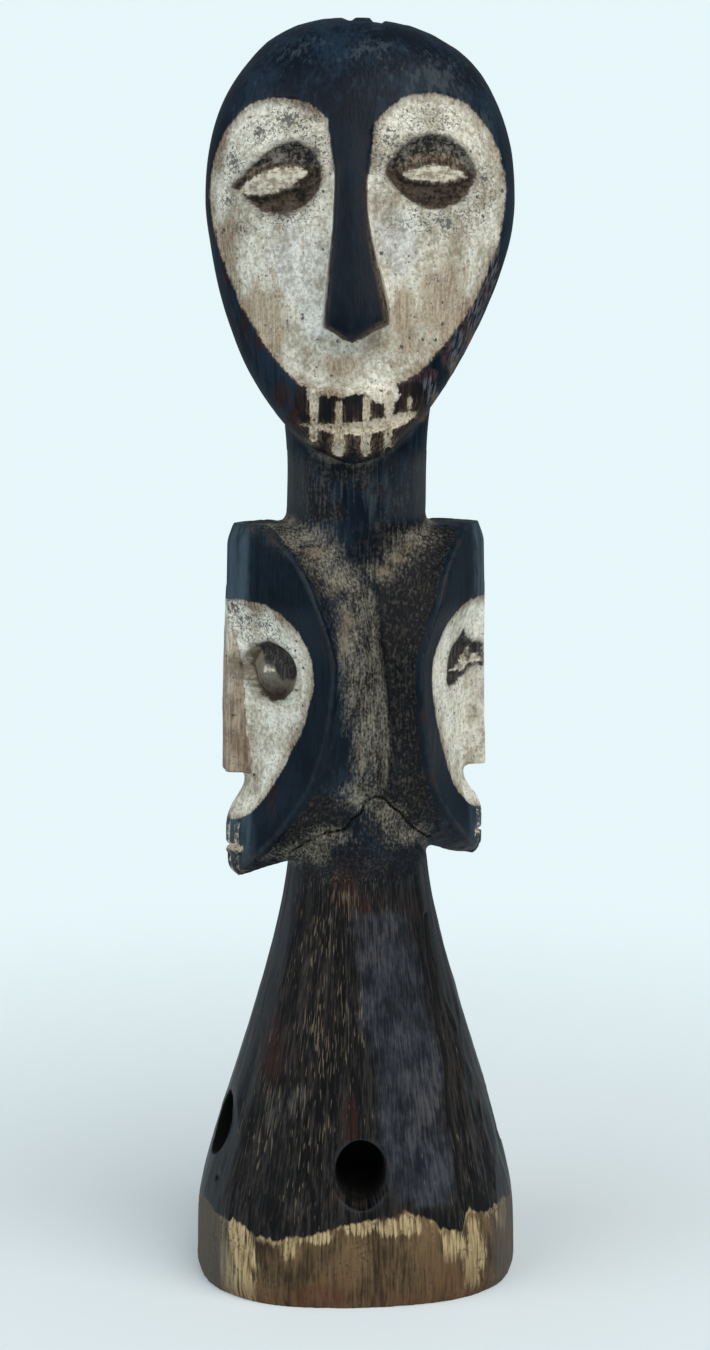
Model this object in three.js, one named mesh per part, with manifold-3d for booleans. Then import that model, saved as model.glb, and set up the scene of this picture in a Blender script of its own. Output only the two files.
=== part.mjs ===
// A carved wooden figure of one large head on a thick neck, two smaller heads set back to back
// below it and looking left and right, and a flaring foot with two drilled passages that cross.
// It is cut from one block of wood, so it is one solid. Millimetres, +Z up, the front looks
// along -Y, and the origin is the middle of the underside.
import * as THREE from 'three';
import { ConvexGeometry } from 'three/addons/geometries/ConvexGeometry.js';
import { mergeVertices } from 'three/addons/utils/BufferGeometryUtils.js';
import Module from 'manifold-3d';

// Heights of the main stages
const HEIGHT = 300.6;
const CHIN_HEIGHT = 197;
const BROAD_HEIGHT = 258;
const SHOULDER_HEIGHT = 183;
const SIDE_BROAD_HEIGHT = 153;
const SIDE_CHIN_HEIGHT = 98;
const WAIST_HEIGHT = 96;
const BAND_HEIGHT = 22;

// Foot: an oblong with full round corners, straight at the bottom and then tapering to the waist
const FOOT_HALF_WIDTH = 39.3;
const FOOT_HALF_DEPTH = 33.5;
const WAIST_HALF_WIDTH = 15.4;
const WAIST_HALF_DEPTH = 18.1;
const WAIST_SOFTNESS = 14;
const BAND_SOFTNESS = 1.5;
const APEX_HEIGHT = 121;
const FOOT_SQUARENESS = 2.5;
const UNDERSIDE_SHRINK = 0.02;

// Passages: one runs front to back, the other left to right, a little higher and further forward
const FRONT_HOLE = { across: -0.7, height: 32, halfWidth: 5.8, halfHeight: 7.2, reach: 31, flare: 0.35 };
const SIDE_HOLE = { across: -3.3, height: 37.6, halfWidth: 6.4, halfHeight: 6.9, reach: 34, flare: 0.12 };
const SIDE_HOLE_SLANT = 5;

// Large head. A head's crown and jaw are curves of these powers, and the widest line of the large
// one runs a little in front of the middle of its depth.
const HEAD_HALF_WIDTH = 36.3;
const HEAD_FRONT = -26.5;
const HEAD_BACK = 26.5;
const HEAD_TURN = THREE.MathUtils.degToRad(-4);
const HEAD_SQUARENESS = 2.1;
const HEAD_WIDEST_DEPTH = 0.47;
const HEAD_CROWN_POWER = 2.27;
const JAW_POWER = 1.6;
const JAW_ROUNDING = 0.595;
const FACE_HOLLOW = 1.4;

// Neck
const NECK_HALF_WIDTH = 16.5;
const NECK_HALF_DEPTH = 17.5;
const NECK_SQUARENESS = 3;
const NECK_THIN_HEIGHT = 194;
const NECK_SWELL = 0.04;

// Side heads
const SIDE_HALF_WIDTH = 29.3;
const SIDE_TURN = THREE.MathUtils.degToRad(8);
const SIDE_CROWN_POWER = 2.1;
const SIDE_MOUTH_HEIGHT = 105.6;
const SIDE_EYE_HEIGHT = 151;
const SIDE_EYE_ACROSS = 12;

const { clamp, lerp, smoothstep } = THREE.MathUtils;

// Value at a height on a smooth curve through a few [height, value] stations. The slope at a
// station is the harmonic mean of its neighbours' slopes, so the curve never overshoots.
function along(stations, z) {
  const last = stations.length - 1;
  const rise = (i) => (stations[i + 1][1] - stations[i][1]) / (stations[i + 1][0] - stations[i][0]);
  const slopeAt = (i) => {
    if (i === 0) return rise(0);
    if (i === last) return rise(last - 1);
    const product = rise(i - 1) * rise(i);
    return product > 0 ? (2 * product) / (rise(i - 1) + rise(i)) : 0;
  };
  let i = 0;
  while (i < last - 1 && z > stations[i + 1][0]) i += 1;
  const [z0, v0] = stations[i];
  const [z1, v1] = stations[i + 1];
  const span = z1 - z0;
  const t = clamp((z - z0) / span, 0, 1);
  const ends = (1 + 2 * t) * (1 - t) ** 2 * v0 + t * t * (3 - 2 * t) * v1;
  return ends + span * (t * (1 - t) ** 2 * slopeAt(i) - t * t * (1 - t) * slopeAt(i + 1));
}

// Share of the full half-width that a head has at height z: a round crown and a long tapered jaw
function headShare(z, chin, broad, crown, crownPower) {
  if (z > broad) {
    const rise = clamp((z - broad) / (crown - broad), 0, 1);
    return (1 - rise ** crownPower) ** (1 / crownPower);
  }
  const drop = clamp((broad - z) / (broad - chin), 0, 1);
  return (1 - drop ** JAW_POWER) ** JAW_ROUNDING;
}

// Point of a superellipse, used for every oblong section
function oblong(angle, power) {
  const c = Math.cos(angle);
  const s = Math.sin(angle);
  return [Math.sign(c) * Math.abs(c) ** (2 / power), Math.sign(s) * Math.abs(s) ** (2 / power)];
}

const wasm = await Module();
wasm.setup();

function solid(geometry) {
  geometry.deleteAttribute('normal');
  geometry.deleteAttribute('uv');
  const merged = mergeVertices(geometry, 1e-4);
  return new wasm.Manifold(new wasm.Mesh({
    numProp: 3,
    vertProperties: new Float32Array(merged.attributes.position.array),
    triVerts: new Uint32Array(merged.index.array),
  }));
}

// Closed skin over rings of equal count, from low to high, each anticlockwise seen from above
function loftRings(rings) {
  const count = rings[0].length;
  const positions = rings.flat(2);
  const index = [];
  for (let row = 0; row < rings.length - 1; row += 1) {
    for (let i = 0; i < count; i += 1) {
      const a = row * count + i;
      const b = row * count + ((i + 1) % count);
      index.push(a, b, b + count, a, b + count, a + count);
    }
  }
  for (const [row, up] of [[0, false], [rings.length - 1, true]]) {
    const middle = [0, 1, 2].map((k) => rings[row].reduce((sum, p) => sum + p[k], 0) / count);
    const hub = positions.length / 3;
    positions.push(...middle);
    for (let i = 0; i < count; i += 1) {
      const a = row * count + i;
      const b = row * count + ((i + 1) % count);
      index.push(...(up ? [hub, a, b] : [hub, b, a]));
    }
  }
  const geometry = new THREE.BufferGeometry();
  geometry.setAttribute('position', new THREE.Float32BufferAttribute(positions, 3));
  geometry.setIndex(index);
  return solid(geometry);
}

function loft(heights, ringAt) {
  return loftRings(heights.map((z) => ringAt(z).map(([x, y]) => [x, y, z])));
}

// Heights from low to high, closer together towards the ends where a head rounds over
function levels(low, high, count, easeLow, easeHigh) {
  return Array.from({ length: count }, (_, i) => {
    const t = i / (count - 1);
    const eased = t + (easeLow * (1 - t) - easeHigh * t) * t * (t - 1);
    return lerp(low, high, eased);
  });
}

// Foot and waist, running on upwards inside the block to a point between the side heads
function footHalf(z, footHalfSize, waistHalfSize) {
  const slope = (footHalfSize - 1 - waistHalfSize) / (WAIST_HEIGHT - BAND_HEIGHT);
  const below = WAIST_HEIGHT - z;
  const flare = waistHalfSize + (slope * (below + Math.hypot(below, WAIST_SOFTNESS))) / 2;
  return (footHalfSize + flare - Math.hypot(footHalfSize - flare, BAND_SOFTNESS)) / 2;
}

function footRing(z) {
  const count = 36;
  const narrow = lerp(1, 0.3, smoothstep(z, WAIST_HEIGHT + 6, APEX_HEIGHT + 4));
  const under = 1 - UNDERSIDE_SHRINK * smoothstep(-z, -3, 0);
  const halfWidth = footHalf(z, FOOT_HALF_WIDTH, WAIST_HALF_WIDTH) * narrow * under;
  const dive = 4 * smoothstep(z, APEX_HEIGHT - 1, APEX_HEIGHT + 6);
  const swell = 1.2 * smoothstep(z, WAIST_HEIGHT, APEX_HEIGHT);
  const halfDepth = footHalf(z, FOOT_HALF_DEPTH, WAIST_HALF_DEPTH) * under + swell - dive;
  const shift = 0.6 * smoothstep(z, 15, 45);
  return Array.from({ length: count }, (_, i) => {
    const [x, y] = oblong((i / count) * 2 * Math.PI, FOOT_SQUARENESS);
    return [shift + x * halfWidth, y * halfDepth];
  });
}

function foot() {
  const heights = [0, 3, 12, 18, 24, 32, 45, 60, 75, 88, WAIST_HEIGHT, 103, 109, 114, 118,
    APEX_HEIGHT, APEX_HEIGHT + 6];
  return loft(heights, footRing);
}

// Thick neck, thinnest a little below the chin
function neck() {
  const heights = [160, 172, 184, 196, 206, 220, 233];
  const count = 32;
  const shift = 0.3;
  return loft(heights, (z) => {
    const above = (z - NECK_THIN_HEIGHT) / 14;
    const swell = 1 + NECK_SWELL * above ** 2 * (above > 0 ? 1 : 0.2);
    return Array.from({ length: count }, (_, i) => {
      const [x, y] = oblong((i / count) * 2 * Math.PI, NECK_SQUARENESS);
      return [shift + x * NECK_HALF_WIDTH * swell, y * NECK_HALF_DEPTH];
    });
  });
}

// Half-width, sideways lean, front and back of the large head at a height
function headSection(z) {
  const share = headShare(z, CHIN_HEIGHT, BROAD_HEIGHT, HEIGHT, HEAD_CROWN_POWER);
  const lean = along([[197, 0], [204, -1.1], [213, -1], [232, 0], [250, 1.2],
    [288, 1.2], [300, -0.6]], z);
  const drop = clamp((BROAD_HEIGHT - z) / (BROAD_HEIGHT - CHIN_HEIGHT), 0, 1);
  const topShift = 2.5 * smoothstep(z, BROAD_HEIGHT, HEIGHT);
  const chinRound = 4.5 * (1 - smoothstep(z, CHIN_HEIGHT, CHIN_HEIGHT + 6)) ** 1.5;
  const bellies = z > BROAD_HEIGHT ? share : 1;
  const mouthSwell = -1.3 * Math.exp(-(((z - 209) / 9) ** 2));
  const front = HEAD_FRONT * bellies + topShift + chinRound + mouthSwell;
  const chinBack = HEAD_FRONT + 4.5;
  const back = z > BROAD_HEIGHT
    ? HEAD_BACK * share + topShift
    : chinBack + (HEAD_BACK - chinBack) * (1 - drop ** 3);
  return { halfWidth: HEAD_HALF_WIDTH * share, lean, front, back: Math.max(back, front + 0.4) };
}

function headRing(z) {
  const { halfWidth, lean, front, back } = headSection(z);
  const middle = lerp(front, back, HEAD_WIDEST_DEPTH);
  const frontSteps = 28;
  const backSteps = 16;
  const points = [];
  for (let i = 0; i < frontSteps; i += 1) {
    const [x, y] = oblong(Math.PI * (1 + i / frontSteps), HEAD_SQUARENESS);
    points.push([lean + x * halfWidth, middle + y * (middle - front)]);
  }
  for (let i = 0; i < backSteps; i += 1) {
    const [x, y] = oblong((Math.PI * i) / backSteps, HEAD_SQUARENESS);
    points.push([lean + x * halfWidth, middle + y * (back - middle)]);
  }
  return points;
}

// Depth of the uncut skin of the large head at a place on its front
function headDepth(x, z) {
  const { halfWidth, lean, front, back } = headSection(z);
  const middle = lerp(front, back, HEAD_WIDEST_DEPTH);
  const reach = clamp(Math.abs(x - lean) / halfWidth, 0, 1);
  return middle - (1 - reach ** HEAD_SQUARENESS) ** (1 / HEAD_SQUARENESS) * (middle - front);
}

// Heart-shaped outline of the face, with a round lobe over each eye and a notch at the nose
function heartPrism() {
  const lobeTop = 280.5;
  const cheek = 259;
  const shape = new THREE.Shape();
  shape.moveTo(-11, 214.5);
  shape.bezierCurveTo(-19, 219, -33.2, 240, -33.6, cheek);
  shape.bezierCurveTo(-33.6, 271, -27, lobeTop - 0.6, -18, lobeTop - 0.6);
  shape.bezierCurveTo(-9, lobeTop - 0.6, -4.5, 275, -0.8, 262);
  shape.bezierCurveTo(3, 275, 9, lobeTop + 0.4, 18, lobeTop + 0.4);
  shape.bezierCurveTo(27, lobeTop + 0.4, 34.9, 271, 34.9, cheek);
  shape.bezierCurveTo(34, 240, 22, 224, 13, 216.5);
  shape.quadraticCurveTo(1, 212.5, -11, 214.5);
  const prism = new THREE.ExtrudeGeometry(shape, { depth: 60, bevelEnabled: false, curveSegments: 7 });
  prism.rotateX(Math.PI / 2);
  return solid(prism);
}

// Plane-sided solid drawn tight round the points
function hull(points) {
  return solid(new ConvexGeometry(points.map((p) => new THREE.Vector3(...p))));
}

// Long wedge nose: flush with the forehead above, proud and wide at its V-shaped lower edge
function headNose() {
  const rootZ = 274;
  const bridgeZ = 256;
  const wingZ = 229;
  const tipZ = 224;
  const tipX = -0.8;
  const bridge = 3.6;
  const wing = 7;
  const proud = -32.8;
  const inside = -18;
  const upper = hull([
    [-5 - 0.8, headDepth(-5, rootZ) - 0.2, rootZ], [5 - 0.8, headDepth(5, rootZ) - 0.2, rootZ],
    [-5.4, inside, rootZ], [4.6, inside, rootZ],
    [-bridge - 0.8, -29, bridgeZ], [bridge - 0.8, -29, bridgeZ],
    [-bridge - 2, inside, bridgeZ], [bridge + 0.4, inside, bridgeZ],
  ]);
  const lower = hull([
    [-bridge - 0.8, -29, bridgeZ], [bridge - 0.8, -29, bridgeZ],
    [-bridge - 2, inside, bridgeZ], [bridge + 0.4, inside, bridgeZ],
    [-wing + 0.6, proud + 0.9, wingZ], [wing - 0.6, proud + 0.9, wingZ], [tipX, proud, wingZ],
    [tipX, proud + 0.6, tipZ],
    [-wing - 1, inside, wingZ], [wing + 1, inside, wingZ], [tipX, inside, tipZ - 1],
  ]);
  return upper.add(lower);
}

// Almond outline between two corners, as a thin plate to press into a face
function almond(halfLength, halfHeight, thickness) {
  const shape = new THREE.Shape();
  shape.moveTo(-halfLength, 0);
  shape.bezierCurveTo(-halfLength * 0.55, -halfHeight * 1.25, halfLength * 0.55, -halfHeight * 1.25,
    halfLength, 0);
  shape.bezierCurveTo(halfLength * 0.55, halfHeight * 1.25, -halfLength * 0.55, halfHeight * 1.25,
    -halfLength, 0);
  return new THREE.ExtrudeGeometry(shape, { depth: thickness, bevelEnabled: false, curveSegments: 6 });
}

// A shape drawn flat, set up on a face: `at` is its middle on the skin, `facing` the bearing that
// the skin looks along, `tilt` turns it in the skin and `sink` pushes it inwards.
function placeOnFace(geometry, at, facing, tilt, sink) {
  const turn = new THREE.Matrix4().makeRotationFromEuler(new THREE.Euler(0, 0, tilt));
  const stand = new THREE.Matrix4().makeBasis(
    new THREE.Vector3(-Math.sin(facing), Math.cos(facing), 0),
    new THREE.Vector3(0, 0, 1),
    new THREE.Vector3(Math.cos(facing), Math.sin(facing), 0),
  );
  const out = new THREE.Vector3(Math.cos(facing), Math.sin(facing), 0).multiplyScalar(-sink);
  geometry.applyMatrix4(turn);
  geometry.applyMatrix4(stand);
  geometry.translate(at[0] + out.x, at[1] + out.y, at[2]);
  return solid(geometry);
}

// A hollowed almond with a narrow bean left standing in it
function carveEye(body, eye) {
  const hollow = placeOnFace(almond(eye.halfLength, eye.halfHeight, 12), eye.at, eye.facing,
    eye.tilt, eye.depth);
  const bean = new THREE.SphereGeometry(1, 10, 6);
  bean.scale(eye.beanLength, eye.beanHeight, eye.depth);
  const lens = placeOnFace(bean, eye.at, eye.facing, eye.beanTilt, eye.depth + 0.2);
  return body.subtract(hollow).add(lens);
}

// Curved strip that follows the skin of a ring between two x places, for a cut of even depth
function skinStrip(depthAt, from, to, zLow, zHigh, depth) {
  const shape = new THREE.Shape();
  const steps = Math.ceil((to - from) / 4);
  for (let i = 0; i <= steps; i += 1) {
    const x = lerp(from, to, i / steps);
    shape[i ? 'lineTo' : 'moveTo'](x, depthAt(x, (zLow + zHigh) / 2) + depth);
  }
  shape.lineTo(to, depthAt(to, zLow) - 6);
  shape.lineTo(from, depthAt(from, zLow) - 6);
  const geometry = new THREE.ExtrudeGeometry(shape, { depth: zHigh - zLow, bevelEnabled: false });
  geometry.translate(0, 0, zLow);
  return solid(geometry);
}

function head() {
  const block = loft(levels(CHIN_HEIGHT, HEIGHT, 27, 0.55, 0.75), headRing);
  const hollow = heartPrism().subtract(block.translate([0, FACE_HOLLOW, 0]));
  let body = block.subtract(hollow).add(headNose());
  const eyes = [
    { x: -17.8, z: 261.8, tilt: 0.08, beanTilt: 0.24, slew: -0.42 },
    { x: 17.6, z: 263, tilt: 0, beanTilt: 0, slew: 0.42 },
  ];
  for (const { x, z, tilt, beanTilt, slew } of eyes) {
    body = carveEye(body, {
      at: [x, headDepth(x, z) + FACE_HOLLOW, z],
      facing: -Math.PI / 2 + slew,
      tilt,
      beanTilt,
      halfLength: 11,
      halfHeight: 8.9,
      depth: 1.6,
      beanLength: 8.6,
      beanHeight: 3.4,
    });
  }
  const grooveDepth = 0.9;
  body = body.subtract(skinStrip(headDepth, -11, 12.5, 204.2, 206.8, grooveDepth));
  for (const x of [-9.3, -3.8, 2.5, 7.7]) {
    const half = 0.9;
    body = body.subtract(skinStrip(headDepth, x - half, x + half, 200, 213.2, grooveDepth));
  }
  return body;
}

// Middle of a side head's face, without the nose: chin, lip, cheek and brow
const SIDE_PROFILE = [[98, 29.6], [99.5, 30.9], [101, 31.4], [107, 31], [115, 29.7], [125, 28.2],
  [150, 28.8], [166, 31.2], [178, 31], [183, 29.4]];

// Swell of the lips and the notch over them, strongest on the middle line
const SIDE_LIPS = [[98, 0], [101, 0.3], [107, 0.8], [112, 1.4], [115, 0.9], [118, -0.5],
  [120.7, -1.3], [125, -0.8], [132, 0]];

// Depth of the valley between the two side heads at its floor
const VALLEY = [[98, 3], [102, 8], [107, 13], [112, 17], [117, 19.2], [121, 20.4], [135, 21.5],
  [150, 21.3], [160, 20], [170, 17.5], [175, 15.5], [179.5, 12.5], [183, 9]];

// How far in from the side the underside of the jaw has risen to each height
const JAW_INNER = [[98, 29], [99.2, 27], [100.7, 22], [102.2, 18.5], [103.7, 14], [106, 4], [109, -3]];

const SIDE_LEVELS = [98, 99.2, 100.7, 102.2, 104, 106.5, 109, 112, 115, 118, 120.7, 123.5, 127, 132,
  138, 145, 152, 159, 165, 170, 174, 177, 179.5, 181.5, 183];

function sideHalf(z) {
  const share = headShare(z, SIDE_CHIN_HEIGHT, SIDE_BROAD_HEIGHT, SHOULDER_HEIGHT + 1, SIDE_CROWN_POWER);
  return Math.max(SIDE_HALF_WIDTH * share, 1.6);
}

// Distance of a side head's face out from the middle, at height z and v across the face
function sideFace(z, v, head) {
  const half = sideHalf(z);
  const round = 4;
  const hollow = 1.2 * smoothstep(z, 112, 130) * (1 - smoothstep(z, 158, 168));
  const across = clamp(Math.abs(v) / half, 0, 1);
  const wedge = head.slope * (Math.hypot(v, round) - round);
  const brow = head.brow * smoothstep(z, 152, 168);
  const lips = along(SIDE_LIPS, Math.min(z, 132)) * Math.exp(-((v / 9) ** 2));
  return along(SIDE_PROFILE, z) + brow + lips - wedge - hollow * 4 * across * (1 - across);
}

// Level outline of a side head: the face, and on either side a rim that curves in to the valley
function sideRing(z, head) {
  const half = sideHalf(z);
  const valley = along(VALLEY, z);
  const inner = along(JAW_INNER, z);
  const rim = sideFace(z, half, head);
  const bulge = 3 * smoothstep(z, 171, 179);
  const across = [0.94, 0.7, 0.45, 0.2].map((share) => [sideFace(z, share * half, head), share * half]);
  const turnIn = [];
  const steps = 6;
  for (let i = 0; i <= steps; i += 1) {
    const t = i / steps;
    const bend = [lerp(rim, inner, 0.45), lerp(half, valley, 0.9) + bulge];
    const a = (1 - t) ** 2;
    const b = 2 * t * (1 - t);
    turnIn.push([a * rim + b * bend[0] + t * t * inner, a * half + b * bend[1] + t * t * valley]);
  }
  const quarter = [...across.reverse(), ...turnIn];
  const outline = [
    [sideFace(z, 0, head), 0],
    ...quarter,
    ...quarter.toReversed().map(([u, v]) => [u, -v]),
  ];
  return outline.map(([u, v]) => [head.side * u, head.side * v]);
}

// The lower end of a face drawn up a little where its chin sits higher than the other's
function shortened(z, head) {
  const start = 118;
  return z > start ? z : start - ((start - z) * (start - SIDE_CHIN_HEIGHT - head.chinRise))
    / (start - SIDE_CHIN_HEIGHT);
}

// Straight nose with a flat front, cut off square below above the notch of the upper lip
function sideNose(head) {
  const foot = 123.6;
  const root = 168;
  const wing = 3.2;
  const bridge = 2.4;
  const points = [
    [head.ridge + 0.5, wing, foot], [head.ridge, bridge, 150],
    [head.ridge - 0.7 + head.brow, bridge, root],
    [25, wing + 2.6, foot], [26, bridge + 2, 150], [27, bridge, root],
  ];
  return hull(points.flatMap(([u, v, z]) => [[head.side * u, v, z], [head.side * u, -v, z]]));
}

function sideHead(head) {
  const rings = SIDE_LEVELS.map((z) => sideRing(z, head).map(([x, y]) => [x, y, shortened(z, head)]));
  let body = loftRings(rings).add(sideNose(head));
  for (const face of [-1, 1]) {
    const v = SIDE_EYE_ACROSS * face;
    const z = SIDE_EYE_HEIGHT;
    const lean = Math.atan(head.slope) * face;
    body = carveEye(body, {
      at: [head.side * sideFace(z, v, head), v, z],
      facing: head.side > 0 ? lean : Math.PI - lean,
      tilt: 0,
      beanTilt: 0,
      halfLength: 7.6,
      halfHeight: 6.6,
      depth: 1.4,
      beanLength: 5.6,
      beanHeight: 3,
    });
  }
  const skin = (x, z) => -sideFace(z, x, head);
  const mouth = shortened(SIDE_MOUTH_HEIGHT, head);
  const quarterTurn = 90 * head.side;
  const grooveDepth = 0.8;
  const lips = skinStrip(skin, -6.5, 6.5, mouth - 0.8, mouth + 0.8, grooveDepth);
  body = body.subtract(lips.rotate([0, 0, quarterTurn]));
  for (const v of [-4.8, -1.6, 1.6, 4.8]) {
    const tooth = skinStrip(skin, v - 0.6, v + 0.6, mouth - 3.6, mouth + 4.4, grooveDepth);
    body = body.subtract(tooth.rotate([0, 0, quarterTurn]));
  }
  return body;
}

// Oval passage straight through the foot along its own x axis, opened out at both mouths
function passage(hole) {
  const sides = 24;
  const long = 90;
  const mouthLength = 12;
  const tube = new THREE.CylinderGeometry(1, 1, long, sides);
  tube.rotateZ(Math.PI / 2);
  tube.scale(1, hole.halfWidth, hole.halfHeight);
  let cut = solid(tube);
  for (const end of [0, 180]) {
    const grow = hole.flare * mouthLength;
    const mouth = new THREE.CylinderGeometry(1, 1, mouthLength, sides);
    mouth.rotateZ(Math.PI / 2);
    mouth.scale(1, hole.halfWidth, hole.halfHeight);
    const spots = mouth.attributes.position;
    for (let i = 0; i < spots.count; i += 1) {
      const wide = spots.getX(i) > 0 ? grow : 0;
      spots.setY(i, spots.getY(i) * (1 + wide / hole.halfWidth));
      spots.setZ(i, spots.getZ(i) * (1 + wide / hole.halfHeight));
    }
    mouth.translate(hole.reach - 3 + mouthLength / 2, 0, 0);
    cut = cut.add(solid(mouth).rotate([0, 0, end]));
  }
  return cut;
}

function turned(body, angle) {
  return body.rotate([0, 0, THREE.MathUtils.radToDeg(angle)]);
}

function figure() {
  const left = { side: -1, slope: 0.69, ridge: 31.8, brow: 0, chinRise: 0 };
  const right = { side: 1, slope: 0.75, ridge: 31.6, brow: 0.9, chinRise: 3 };
  const frontToBack = passage(FRONT_HOLE).rotate([0, 0, 90])
    .translate([FRONT_HOLE.across, 0, FRONT_HOLE.height]);
  const sideToSide = passage(SIDE_HOLE).rotate([0, 0, SIDE_HOLE_SLANT])
    .translate([0, SIDE_HOLE.across, SIDE_HOLE.height]);
  return foot()
    .add(turned(sideHead(left).add(sideHead(right)), SIDE_TURN))
    .add(neck())
    .add(turned(head(), HEAD_TURN))
    .subtract(frontToBack.add(sideToSide));
}

function meshOf(body) {
  const { vertProperties, triVerts } = body.getMesh();
  const geometry = new THREE.BufferGeometry();
  geometry.setAttribute('position', new THREE.BufferAttribute(vertProperties, 3));
  geometry.setIndex(new THREE.BufferAttribute(triVerts, 1));
  geometry.computeVertexNormals();
  return geometry;
}

const blackenedWood = new THREE.MeshStandardMaterial({ color: '#2a211c', roughness: 0.55, metalness: 0 });
const carved = new THREE.Mesh(meshOf(figure()), blackenedWood);
carved.name = 'carved_figure';

const object = new THREE.Group();
object.add(carved);

export default object;
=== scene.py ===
# A carved wooden figure: a large head on a thick neck, two smaller heads set back to back below
# it and looking left and right, and a flaring foot with two drilled passages. One block of wood,
# blackened, with white clay on the faces. The forms are worked out in millimetres.
import math

import bpy
import numpy as np
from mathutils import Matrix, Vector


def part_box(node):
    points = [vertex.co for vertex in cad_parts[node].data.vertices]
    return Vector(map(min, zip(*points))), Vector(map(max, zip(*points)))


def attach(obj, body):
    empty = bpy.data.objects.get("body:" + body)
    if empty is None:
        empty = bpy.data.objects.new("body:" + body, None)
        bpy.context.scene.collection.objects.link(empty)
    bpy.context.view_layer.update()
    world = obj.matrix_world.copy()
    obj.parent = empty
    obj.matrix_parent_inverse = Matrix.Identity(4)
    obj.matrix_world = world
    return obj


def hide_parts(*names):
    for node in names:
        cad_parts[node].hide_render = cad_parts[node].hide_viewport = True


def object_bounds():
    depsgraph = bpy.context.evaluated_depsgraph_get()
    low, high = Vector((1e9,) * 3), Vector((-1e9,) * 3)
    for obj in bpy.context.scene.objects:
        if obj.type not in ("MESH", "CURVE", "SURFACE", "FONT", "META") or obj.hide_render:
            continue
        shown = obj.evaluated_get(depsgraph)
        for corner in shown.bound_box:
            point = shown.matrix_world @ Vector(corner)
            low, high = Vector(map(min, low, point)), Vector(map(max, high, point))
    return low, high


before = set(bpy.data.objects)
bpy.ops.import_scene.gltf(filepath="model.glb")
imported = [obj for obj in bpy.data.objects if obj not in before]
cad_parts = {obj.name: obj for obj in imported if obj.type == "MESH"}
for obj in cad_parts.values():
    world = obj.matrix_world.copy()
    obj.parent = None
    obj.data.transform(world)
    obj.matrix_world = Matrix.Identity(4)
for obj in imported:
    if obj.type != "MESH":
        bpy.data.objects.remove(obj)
solid_low, solid_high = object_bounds()
scene = bpy.context.scene
MM = 0.001
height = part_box("carved_figure")[1].z / MM

# The foot
# It is the lower third of the block: an oblong with full round corners, upright at the very
# bottom, then tapering to the waist and running on up to a point between the two small heads.
foot_half_width = 39.3
foot_half_depth = 33.5
waist_half_width = 15.4
waist_half_depth = 18.1
waist_height = 96
band_height = 22
apex_height = 121


def smooth(x, start, end):
    t = np.clip((x - start) / (end - start), 0, 1)
    return t * t * (3 - 2 * t)


def superellipse(angle, power):
    c, s = np.cos(angle), np.sin(angle)
    return np.sign(c) * abs(c) ** (2 / power), np.sign(s) * abs(s) ** (2 / power)


def foot_half(z, at_foot, at_waist):
    slope = (at_foot - 1 - at_waist) / (waist_height - band_height)
    below = waist_height - z
    flare = at_waist + slope * (below + np.hypot(below, 14)) / 2
    return (at_foot + flare - np.hypot(at_foot - flare, 1.5)) / 2


def shape(name, rings):
    """A closed skin over rings of equal count, each anticlockwise seen from the last one."""
    rows, count, _ = rings.shape
    ids = np.arange(rows * count).reshape(rows, count)
    low, high = ids[:-1], ids[1:]
    sides = np.stack([low, np.roll(low, -1, 1), np.roll(high, -1, 1), high], axis=-1)
    faces = sides.reshape(-1, 4).tolist() + [ids[0, ::-1].tolist(), ids[-1].tolist()]
    mesh = bpy.data.meshes.new(name)
    mesh.from_pydata(rings.reshape(-1, 3), [], faces)
    made = bpy.data.objects.new(name, mesh)
    scene.collection.objects.link(made)
    return made


def rings_of(x, y, z):
    return np.stack(np.broadcast_arrays(x, y, z), axis=-1)


z = np.linspace(0, apex_height + 6, 160)[:, None]
around = np.linspace(0, 2 * math.pi, 240, endpoint=False)[None, :]
across, deep = superellipse(around, 2.5)
narrow = 1 - 0.7 * smooth(z, waist_height + 6, apex_height + 4)
under = 1 - 0.02 * smooth(-z, -3, 0)
swell = 1.2 * smooth(z, waist_height, apex_height) - 4 * smooth(z, apex_height - 1, apex_height + 6)
foot = shape("foot", rings_of(
    0.6 * smooth(z, 15, 45) + across * foot_half(z, foot_half_width, waist_half_width) * narrow * under,
    deep * (foot_half(z, foot_half_depth, waist_half_depth) * under + swell),
    z,
))

# The two passages
# They were bored through the foot with a hot iron and cross inside it, one from front to back and
# one from side to side. Both are oval and open out where they break through.
front_passage = {"across": -0.7, "height": 32, "half": (5.8, 7.2), "reach": 31, "flare": 0.35, "turn": 90}
side_passage = {"across": -3.3, "height": 37.6, "half": (6.4, 6.9), "reach": 34, "flare": 0.12, "turn": 5}


def turned(points, degrees):
    a = math.radians(degrees)
    x, y = points[..., 0], points[..., 1]
    turned_x, turned_y = x * math.cos(a) - y * math.sin(a), x * math.sin(a) + y * math.cos(a)
    return np.stack([turned_x, turned_y, points[..., 2]], axis=-1)


def bore(name, passage):
    start = passage["reach"] - 3
    places = np.array([-45, -start, start, 45.0])[:, None]
    grow = passage["flare"] * np.maximum(abs(places) - start, 0)
    half_width, half_height = passage["half"]
    c, s = np.cos(around), np.sin(around)
    rings = turned(rings_of(places, c * (half_width + grow), s * (half_height + grow)), passage["turn"])
    shift = (passage["across"], 0) if passage["turn"] == 90 else (0, passage["across"])
    return shape(name, rings + np.array([*shift, passage["height"]]))


def applied(thing):
    """The object with its modifiers made real."""
    seen = thing.evaluated_get(bpy.context.evaluated_depsgraph_get())
    mesh = bpy.data.meshes.new_from_object(seen)
    thing.modifiers.clear()
    thing.data = mesh
    return thing


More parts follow.
